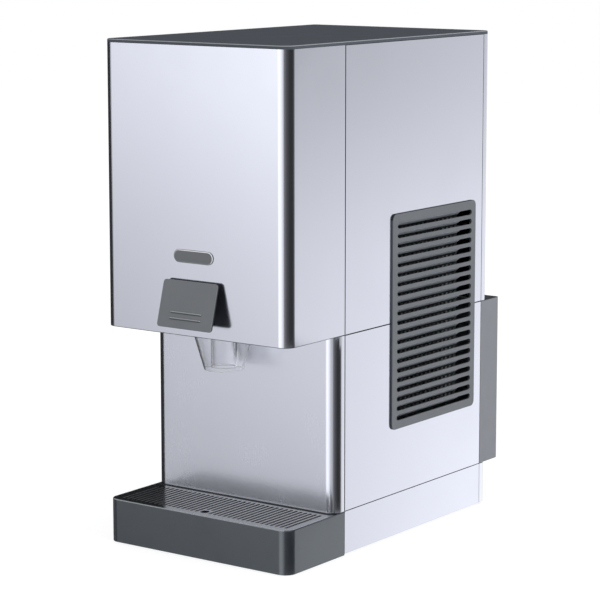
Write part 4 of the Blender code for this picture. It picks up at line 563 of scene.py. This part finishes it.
head = folded_sheet("front_head_casing", front, seam_edge, head_bottom, lid_seat - fit_gap,
                    corner_radius, True)
cut_away(head, block("opening", (-opening_half_width, front - overrun, opening_low),
                     (opening_half_width, front + overrun, opening_high)))
round_border(head, head_bottom, fold_round)
turn_in_seam_edge(head)
soften(head, fine_edge)
# The bottom hem and the edge at the side seam are painted dark grey: painted shade, where the sheet edges
# fall in shadow.
painted_edge_shade, tree, shader = fresh_material("sheet edge in shadow")
shader.inputs["Metallic"].default_value = 1.0
shader.inputs["Base Color"].default_value = (0.10, 0.104, 0.112, 1)
shader.inputs["Roughness"].default_value = 0.55
paint_faces(head, steel, (painted_edge_shade, lambda face: face.center.z < head_bottom + sheet and face.normal.z < -0.1
                          or at_side_seam(face)))
dress(head, steel, "steel", "housing", "head_front_panel")

# Splash panel, side sheets, rear panels and base pan
# The other steel sheets. The set-back splash panel is folded as the head is, and polished less; the
# side sheets and the rear panels close the casing over its posts and meet in fine seams.
base_top = 0.070
rear_seam = front + 0.536
rear_corner_radius = 0.008
side_edge = 0.00055
weld_distance = 0.00001
splash = folded_sheet("splash_back_casing", splash_front, seam_edge, base_top + seam, head_bottom - seam,
                      corner_radius, True)
turn_in_seam_edge(splash)
soften(splash, fine_edge)
satin = sheet_steel("satin stainless sheet", *stainless, 0.25, rolling_lines)
# The edge at the side seam is painted dark grey: painted shade.
paint_faces(splash, steel, (satin, lambda face: face.normal.y < -0.99), (painted_edge_shade, at_side_seam))
dress(splash, steel, "steel", "housing", "splash_panel")
upper_rear = folded_sheet("upper_rear_casing", rear_seam + seam, rear_face, head_bottom + seam,
                          lid_seat - fit_gap, rear_corner_radius, False)
soften(upper_rear, fine_edge)
dress(upper_rear, steel, "steel", "housing", "upper_rear_panel")


def refined(name, node, width, segments=2):
    """A CAD node's own shape, with its loose triangles joined and its edges finely broken."""
    piece = nodes[node].copy()
    piece.data = nodes[node].data.copy()
    piece.name = name
    piece.parent = None
    bpy.context.scene.collection.objects.link(piece)
    pick(piece, "FACE", lambda centre, normal: True)
    bpy.ops.mesh.remove_doubles(threshold=weld_distance)
    bpy.ops.mesh.dissolve_limited(angle_limit=math.radians(0.5))
    done()
    soften(piece, width, segments)
    return piece


for side_name in ("right", "left"):
    for level in ("upper", "lower"):
        node = side_name + "_" + level + "_side_panel"
        side_sheet = refined(side_name + "_" + level + "_side_casing", node, side_edge)
        # Every edge of the side sheets is painted dark grey: painted shade in the seams.
        paint_faces(side_sheet, steel, (painted_edge_shade, lambda face: abs(face.normal.x) < 0.95))
        dress(side_sheet, steel, "steel", "housing", node)
for name, node in (("base_rear_casing", "base_rear_panel"),
                   ("head_underside_casing", "head_underside_panel"), ("base_pan_casing", "base_pan")):
    dress(refined(name, node, fine_edge), steel, "steel", "housing", node)

# Top lid
# A dark moulded lid with a rounded rim. It drops over the casing, and the lip under it keeps it in
# place. Like every moulding here, it has the fine skin that a spark-eroded mould gives.
lid_top = 0.787
lid_round = 0.0016
lid_land, lid_lip = 0.0018, 0.0025
grained, given, out = new_group("moulded grain", [("Scale", 1600.0)], ["Height", "Tone"])
place = grained.nodes.new("ShaderNodeTexCoord")
cells = grained.nodes.new("ShaderNodeTexVoronoi")
cells.feature = "SMOOTH_F1"
wire(grained, place.outputs["Object"], cells.inputs["Vector"])
wire(grained, given.outputs["Scale"], cells.inputs["Scale"])
wire(grained, cells.outputs["Distance"], out.inputs["Height"])
wire(grained, noise(grained, place.outputs["Object"], 60.0, 5.0, 0.6), out.inputs["Tone"])


def moulded(name, colour, roughness, drift=0.06, grain_scale=1600.0, depth=0.30, gloss=1.0, smudge=0.05):
    """Moulded plastic: grain in the surface, and a slight drift of tone and gloss."""
    grain_depth = 0.00006
    material, tree, shader = fresh_material(name)
    shader.inputs["Specular IOR Level"].default_value = gloss
    skin = put_group(tree, grained, Scale=grain_scale)
    marks = put_group(tree, smudges, Scale=16.0, Amount=smudge)
    low, high = (tuple(c * (1 + sign * drift) for c in colour) for sign in (-1, 1))
    wire(tree, tint(tree, skin.outputs["Tone"], low, high), shader.inputs["Base Color"])
    wire(tree, calculate(tree, "SUBTRACT", roughness, marks.outputs["Mask"]), shader.inputs["Roughness"])
    wire(tree, bump(tree, skin.outputs["Height"], depth, grain_depth), shader.inputs["Normal"])
    return material


lid_plastic = moulded("lid plastic", (0.066, 0.077, 0.096), 0.50, gloss=0.3)
# A lighter grey for the rounding of the lid's rim: a painted highlight.
lid_rim_highlight = moulded("lid rim painted highlight", (0.30, 0.32, 0.345), 0.32, depth=0.05)
lid = block("moulded_lid", (-half_width, front, lid_seat), (half_width, rear_face, lid_top))
round_uprights(lid, front, corner_radius, corner_steps)
round_uprights(lid, rear_face, rear_corner_radius, 10)
round_edges(lid, lid_round, 5, lambda a, b: near(a.z, lid_top) and near(b.z, lid_top))
pick(lid, "FACE", lambda centre, normal: normal.z < -0.9)
bpy.ops.mesh.inset(thickness=lid_land)
bpy.ops.mesh.inset(thickness=lid_lip)
bpy.ops.mesh.select_all(action="DESELECT")
done()
soften(lid, 0)
# The rim's rounding gets the lighter grey: a painted highlight along the lid's edge.
paint_faces(lid, lid_plastic, (lid_rim_highlight, lambda face: 0.25 < face.normal.z < 0.985))
dress(lid, lid_plastic, "lid", "housing", "top_lid")

# Drip tray and its grille
# A deep dark moulded tray on the counter under the spout. The slotted grille drops into a seat in its
# rim, and lifts out by the round finger hole.
tray_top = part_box("drip_tray")[1][2]
tray_round = 0.0015
seat_front = front + 0.0032
tray_edge = 0.0004
hair = 0.0001
tray_plastic = moulded("tray plastic", (0.020, 0.024, 0.030), 0.24, depth=0.15)
tray_shader = tray_plastic.node_tree.nodes["Principled BSDF"]
tray_shader.inputs["IOR"].default_value = 1.78
tray_shader.inputs["Specular Tint"].default_value = (0.84, 0.92, 1.0, 1)
# A lighter grey for the rounding of the tray's front rim: a painted highlight.
tray_rim_highlight = moulded("tray rim painted highlight", (0.28, 0.295, 0.31), 0.32, depth=0.05)
tray = refined("drip_tray_moulding", "drip_tray", 0)
round_border(tray, tray_top, tray_round)
soften(tray, tray_edge)
# The front rim's rounding gets the lighter grey: a painted highlight.
paint_faces(tray, tray_plastic,
            (tray_rim_highlight, lambda face: face.center.z > tray_top - tray_round - hair and face.normal.x < 0.4
             and face.normal.z > 0.2 and face.center.y < seat_front))
dress(tray, tray_plastic, "tray", "housing", "drip_tray")
grille_plastic = moulded("polished grille plastic", (0.012, 0.014, 0.016), 0.17, drift=0.1,
                         grain_scale=900.0, depth=0.04, gloss=0.28, smudge=0.0)
# The slot walls are rougher than the grille's top, and painted far paler: painted light on the walls inside
# the slots.
slot_wall_light = moulded("unpolished slot wall painted light", (0.102, 0.107, 0.113), 0.60, gloss=0.3)
grille = refined("slotted_drip_grille", "drip_grille", fine_edge)
paint_faces(grille, grille_plastic, (slot_wall_light, lambda face: abs(face.normal.x) > 0.98))
dress(grille, grille_plastic, "grille", "grille", "drip_grille")

# Dispense flap
# A satin moulded push plate, hung on a pin at its top and sprung outwards. Two ribs across its lower
# part give the glass a grip, and a presser behind it works the switch.
pin_out, pin_height = 0.0025, 0.4193
lean = math.radians(15.3)
crown_round = 0.0012
flap_edge = 0.0004
flap_plastic = moulded("flap plastic", (0.109, 0.120, 0.135), 0.38, grain_scale=1400.0, gloss=0.7)
# Near black for the flap's back, its sides and the ribs' undersides: painted shade. Light greys for the rib
# tops and the plate's edges: painted highlights.
flap_painted_shade = moulded("unpolished flap back in painted shade", (0.044, 0.048, 0.052), 0.70, gloss=0.3)
rib_top_highlight = moulded("rib tops painted highlight", (0.50, 0.52, 0.54), 0.30, grain_scale=1400.0)
flap_rim_highlight = moulded("flap edge painted highlight", (0.24, 0.255, 0.27), 0.30, grain_scale=1400.0)


def ahead(place):
    """How far a place stands in front of the flap's pin, square to the plate."""
    return (front - pin_out - place.y) * math.cos(lean) + (place.z - pin_height) * math.sin(lean)


def up_the_plate(direction):
    return direction.y * math.sin(lean) + direction.z * math.cos(lean)


flap = refined("push_flap", "dispense_flap", 0)
rib_crown = max(ahead(vertex.co) for vertex in flap.data.vertices)
pick(flap, "EDGE", lambda a, b: min(ahead(a), ahead(b)) > rib_crown - hair)
bpy.ops.mesh.bevel(offset=crown_round, segments=4, affect="EDGES", clamp_overlap=True)
done()


def on_ribs(face):
    return ahead(face.center) > rib_crown - crown_round - hair


# Painted shade on the back, the sides and under the ribs; painted highlights on the rib tops and on the
# plate's top and right edges.
paint_faces(flap, flap_plastic, (flap_painted_shade, lambda face: face.normal.y > 0.2 or abs(face.normal.x) > 0.75),
            (flap_rim_highlight, lambda face: not on_ribs(face) and face.normal.y < -0.2
             and (up_the_plate(face.normal) > 0.35 or face.normal.x > 0.35)),
            (rib_top_highlight, lambda face: on_ribs(face) and up_the_plate(face.normal) > 0.20),
            (flap_painted_shade, lambda face: on_ribs(face) and up_the_plate(face.normal) < -0.30))
soften(flap, flap_edge, 2, 50)
dress(flap, flap_plastic, "flap", "flap", "dispense_flap")

# Badge place
# A bare oval pill of smooth plastic with a polished rim, stuck on the head above the flap. It carries
# nothing.
pill_half_width, pill_low, pill_high = 0.0375, 0.4560, 0.4760
pill_out, pill_in, pill_dish = 0.0012, 0.0002, 0.0004
pill_round = 0.0099
pill_land = 0.0008
pill_edge = 0.0001
pill = block("bare_badge_pill", (-pill_half_width, front - pill_out, pill_low),
             (pill_half_width, front + pill_in, pill_high))
round_edges(pill, pill_round, 14, lambda a, b: near(a.x, b.x) and near(a.z, b.z))
pick(pill, "FACE", lambda centre, normal: normal.y < -0.9)
bpy.ops.mesh.inset(thickness=pill_land)
bpy.ops.mesh.inset(thickness=pill_land)
bpy.ops.transform.translate(value=(0, -pill_dish, 0))
done()
pill_plastic = moulded("badge plastic", (0.112, 0.122, 0.136), 0.35, grain_scale=900.0, depth=0.03)
pill_rim = sheet_steel("polished badge rim", (0.80, 0.81, 0.83), (0.86, 0.87, 0.89), 0.12,
                       (60.0, 60.0, 60.0))
paint_faces(pill, pill_plastic, (pill_rim, lambda face: -0.98 < face.normal.y < -0.3))
soften(pill, pill_edge, 2, 30)
dress(pill, pill_plastic, "flap", "housing")

# Spout and ice tube
# A clear moulded cone, held by its flange inside the head, and inside it the clear tube that the cubes
# drop down, whose collar lies on the bin's shelf. Their cut lower rims are dull.
spout_y = front + 0.072
clear_wall, rim_break, rim_rise = 0.0017, 0.0004, 0.0006
mouth_radius, mouth_z, neck_radius = 0.0305, 0.2840, 0.0477
flange_radius, flange_thickness = 0.0580, 0.0027
flange_seat = head_bottom + sheet + 2 * fit_gap
flange_top = flange_seat + flange_thickness
shelf = 0.003
tube_radius, tube_z = 0.0200, 0.2880
collar_radius, collar_thickness, tube_rise = 0.0255, 0.0027, 0.0055
collar = flange_top + fit_gap + shelf + fit_gap
collar_top = collar + collar_thickness
clear_colour = (0.985, 0.988, 0.992)


def clear_moulding(name, colour, roughness, index, clearness):
    material, tree, shader = fresh_material(name)
    shader.inputs["Base Color"].default_value = (*colour, 1)
    shader.inputs["Roughness"].default_value = roughness
    shader.inputs["IOR"].default_value = index
    shader.inputs["Transmission Weight"].default_value = clearness
    return material


clear_plastic = clear_moulding("clear plastic", clear_colour, 0.02, 1.45, 1.0)
tree = clear_plastic.node_tree
# Towards glancing angles the clear walls turn dark grey: painted shade that draws their dark outline.
glancing = tree.nodes.new("ShaderNodeLayerWeight")
glancing.inputs["Blend"].default_value = 0.5
glancing_shade = ramp(tree, glancing.outputs["Facing"], [(0.62, 0.0), (0.76, 1.0)])
wire(tree, tint(tree, glancing_shade, clear_colour, (0.12, 0.125, 0.13)),
     tree.nodes["Principled BSDF"].inputs["Base Color"])
tube_plastic = clear_moulding("clear tube plastic", clear_colour, 0.03, 1.35, 1.0)
cut_edge = clear_moulding("cut edge of clear plastic", (0.92, 0.93, 0.95), 0.35, 1.45, 0.35)


def turned_on_lathe(name, outline):
    """Spin a closed outline of (radius, height) points round the spout's upright axis."""
    bpy.ops.object.select_all(action="DESELECT")
    bpy.ops.mesh.primitive_plane_add(size=1, location=(0, 0, 0))
    piece = bpy.context.active_object
    piece.name = name
    bpy.ops.object.mode_set(mode="EDIT")
    bpy.ops.mesh.select_all(action="SELECT")
    bpy.ops.mesh.delete(type="VERT")
    form = bmesh.from_edit_mesh(piece.data)
    points = [form.verts.new((radius, spout_y, height)) for radius, height in outline]
    for first, second in zip(points, points[1:] + points[:1]):
        form.edges.new((first, second))
    bmesh.update_edit_mesh(piece.data)
    bpy.ops.mesh.select_all(action="SELECT")
    bpy.ops.mesh.spin(steps=96, angle=2 * math.pi, center=(0, spout_y, 0), axis=(0, 0, 1))
    bpy.ops.mesh.select_all(action="SELECT")
    bpy.ops.mesh.remove_doubles(threshold=weld_distance)
    bpy.ops.mesh.normals_make_consistent(inside=False)
    done()
    return piece


def lower_rim(radius, height):
    """The outline of a wall's lower rim, with both its edges broken, from the bore outwards."""
    return [(radius - clear_wall, height + rim_rise), (radius - clear_wall + rim_break, height),
            (radius - rim_break, height), (radius, height + rim_rise)]


cone = turned_on_lathe("clear_spout_cone", lower_rim(mouth_radius, mouth_z) + [
    (neck_radius, head_bottom), (neck_radius, flange_seat), (flange_radius, flange_seat),
    (flange_radius, flange_top), (neck_radius - clear_wall, flange_top),
    (neck_radius - clear_wall, head_bottom)])
pipe = turned_on_lathe("clear_ice_tube", lower_rim(tube_radius, tube_z) + [
    (tube_radius, collar), (collar_radius, collar), (collar_radius, collar_top),
    (tube_radius, collar_top), (tube_radius, collar_top + tube_rise),
    (tube_radius - clear_wall, collar_top + tube_rise)])
for piece, plastic, rim_z, node in ((cone, clear_plastic, mouth_z + rim_rise, "spout_cone"),
                                    (pipe, tube_plastic, tube_z + rim_rise, "ice_tube")):
    soften(piece, 0, 2, 25)
    paint_faces(piece, plastic, (cut_edge, lambda face: face.center.z < rim_z + hair / 2))
    dress(piece, plastic, "clear", "housing", node)

# Side air grilles
# A raised moulded frame over the condenser's air path. Sloping blades behind its 21 slots keep
# splashes out; it is clipped over the edges of the side sheets.
shade_start, shade_depth = half_width + 0.0014, 0.010
frame_top_land = 0.012
air_edge = 0.00025
air_plastic = moulded("air grille plastic", (0.092, 0.103, 0.118), 0.38)
tree = air_plastic.node_tree
place = tree.nodes.new("ShaderNodeTexCoord")
axes = tree.nodes.new("ShaderNodeSeparateXYZ")
wire(tree, place.outputs["Object"], axes.inputs[0])
depth = calculate(tree, "SUBTRACT", shade_start, calculate(tree, "ABSOLUTE", axes.outputs["X"]))
depth_share = calculate(tree, "DIVIDE", depth, shade_depth)
# Painted shade by depth into the slots: a thin dark line just behind the face, then darker further in, to
# near black.
shade = ramp(tree, depth_share, [
    (0.15, 0.0), (0.18, 0.55), (0.23, 0.55), (0.26, 0.0), (0.45, 0.0), (0.88, 0.20), (0.97, 1.0)])
base_colour = tree.nodes["Principled BSDF"].inputs["Base Color"]
skin_tone = base_colour.links[0].from_socket
# The blades just behind the face are painted paler: painted light, against the shade that falls on them
# there.
blades = ramp(tree, depth_share, [(0.12, 0.0), (0.24, 1.0)])
painted_light_on_blades = blend(tree, blades, skin_tone, (0.34, 0.37, 0.41, 1))
wire(tree, blend(tree, shade, painted_light_on_blades, (0.014, 0.017, 0.020, 1)), base_colour)
air_shaded = moulded("shaded top of the air grille", (0.030, 0.033, 0.037), 0.60, gloss=0.3)
for side_name in ("right", "left"):
    louvre = refined(side_name + "_louvred_grille", side_name + "_air_grille", air_edge, 1)
    frame_top = max(vertex.co.z for vertex in louvre.data.vertices)
    paint_faces(louvre, air_plastic, (air_shaded, lambda face: face.center.z > frame_top - frame_top_land
                                      and face.normal.z > 0.15 and abs(face.center.x) > half_width))
    dress(louvre, air_plastic, "air", "housing", side_name + "_air_grille")

# Rear cover
# A grey moulded box over the services behind the lower body. Its six screws, which hold it to the
# frame, stand in round recesses.
cover_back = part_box("rear_cover")[1][1]
cover_edge = 0.0006
shade_from = 0.34
recess_radius, recess_depth, crown_drop = 0.0062, 0.0013, 0.0001
in_the_cover = [(x, cover_back - crown_drop, z) for x in (-0.161, 0.161) for z in (0.086, 0.207, 0.328)]
cover_plastic = moulded("rear cover plastic", (0.172, 0.183, 0.210), 0.42)
cover_top = moulded("shaded top of the rear cover", (0.040, 0.044, 0.048), 0.60, gloss=0.3)
cover = refined("rear_cover_moulding", "rear_cover", cover_edge, 3)
for x, y, z in in_the_cover:
    bpy.ops.object.select_all(action="DESELECT")
    bpy.ops.mesh.primitive_cylinder_add(vertices=48, radius=recess_radius, depth=2 * recess_depth,
                                        location=(x, cover_back, z), rotation=(math.pi / 2, 0, 0))
    cut_away(cover, bpy.context.active_object)
paint_faces(cover, cover_plastic,
            (cover_top, lambda face: face.normal.z > 0.6 and face.center.z > shade_from))
dress(cover, cover_plastic, "cover", "housing", "rear_cover")

# Rear screws
# Zinc-plated pan-head screws with a cross recess. Six sit sunk in the rear cover, and the others hold
# the two rear sheets to the posts.
screw_radius, screw_height, screw_land, screw_round = 0.0036, 0.0014, 0.0004, 0.0003
cross_reach, cross_half_width, cross_depth, cross_overrun = 0.0018, 0.00035, 0.0009, 0.001
sheet_crown = rear_face + 0.0013
in_the_sheets = [(x, sheet_crown, z) for x in (-0.160, 0.160) for z in (0.385, 0.570, 0.755)]
in_the_base = [(x, sheet_crown, z) for x, z in ((-0.158, 0.036), (0.158, 0.036), (-0.035, 0.054))]
plated = sheet_steel("zinc plate", (0.50, 0.51, 0.53), (0.62, 0.63, 0.64), 0.34, (30.0, 30.0, 30.0))


def pan_screw(x, y, z):
    """A pan head whose crown stands at y, looking to the rear."""
    bpy.ops.object.select_all(action="DESELECT")
    bpy.ops.mesh.primitive_cylinder_add(vertices=40, radius=screw_radius, depth=screw_height,
                                        location=(x, y - screw_height / 2, z), rotation=(math.pi / 2, 0, 0))
    screw = bpy.context.active_object
    bpy.ops.object.transform_apply(location=True, rotation=True, scale=True)
    pick(screw, "FACE", lambda centre, normal: normal.y > 0.9)
    bpy.ops.mesh.inset(thickness=screw_land)
    bpy.ops.mesh.bevel(offset=screw_round, segments=2, affect="EDGES")
    done()
    for across, up in ((cross_reach, cross_half_width), (cross_half_width, cross_reach)):
        cut_away(screw, block("cross arm", (x - across, y - cross_depth, z - up),
                              (x + across, y + cross_overrun, z + up)))
    return screw


heads = [pan_screw(*place) for place in in_the_cover + in_the_sheets + in_the_base]
bpy.ops.object.select_all(action="DESELECT")
for screw in heads:
    screw.select_set(True)
bpy.context.view_layer.objects.active = heads[0]
bpy.ops.object.join()
screws = bpy.context.active_object
screws.name = "rear_screws"
soften(screws, 0, 2, 30)
dress(screws, plated, "plated", "housing")

# Everything inside, and the feet
# The works keep their CAD shapes, and so do the feet. Each gets the finish that such a piece has:
# moulded, rubber, enamelled, plated or bare metal.
finishes = {
    "white": moulded("white plastic", (0.74, 0.76, 0.77), 0.45, drift=0.02, gloss=0.5),
    "black": moulded("black plastic", (0.020, 0.021, 0.023), 0.45, drift=0.2, gloss=0.5),
    "rubber": moulded("rubber", (0.018, 0.018, 0.019), 0.75, drift=0.2, grain_scale=900.0, depth=0.5,
                      gloss=0.2),
    "enamel": moulded("black enamel", (0.020, 0.021, 0.023), 0.30, drift=0.15, grain_scale=500.0,
                      depth=0.10, gloss=0.5),
    "fins": sheet_steel("aluminium fins", (0.40, 0.41, 0.42), (0.50, 0.51, 0.52), 0.48, (2200.0, 4.0, 4.0)),
    "tin": sheet_steel("polished auger steel", (0.64, 0.65, 0.66), (0.74, 0.75, 0.76), 0.16,
                       (400.0, 8.0, 400.0)),
    "copper": sheet_steel("drawn copper", (0.62, 0.27, 0.15), (0.78, 0.40, 0.25), 0.24, (60.0, 60.0, 60.0)),
    "plated": plated, "steel": steel, "lid": lid_plastic, "tray": tray_plastic, "grille": grille_plastic,
    "air": air_plastic, "flap": flap_plastic, "cover": cover_plastic, "clear": clear_plastic}
for part in frame["record"]["subparts"]:
    mesh = nodes[part["node"]].data
    if not mesh.materials:
        mesh.materials.append(None)
    for index in range(len(mesh.materials)):
        mesh.materials[index] = finishes[part["material_slot"]]
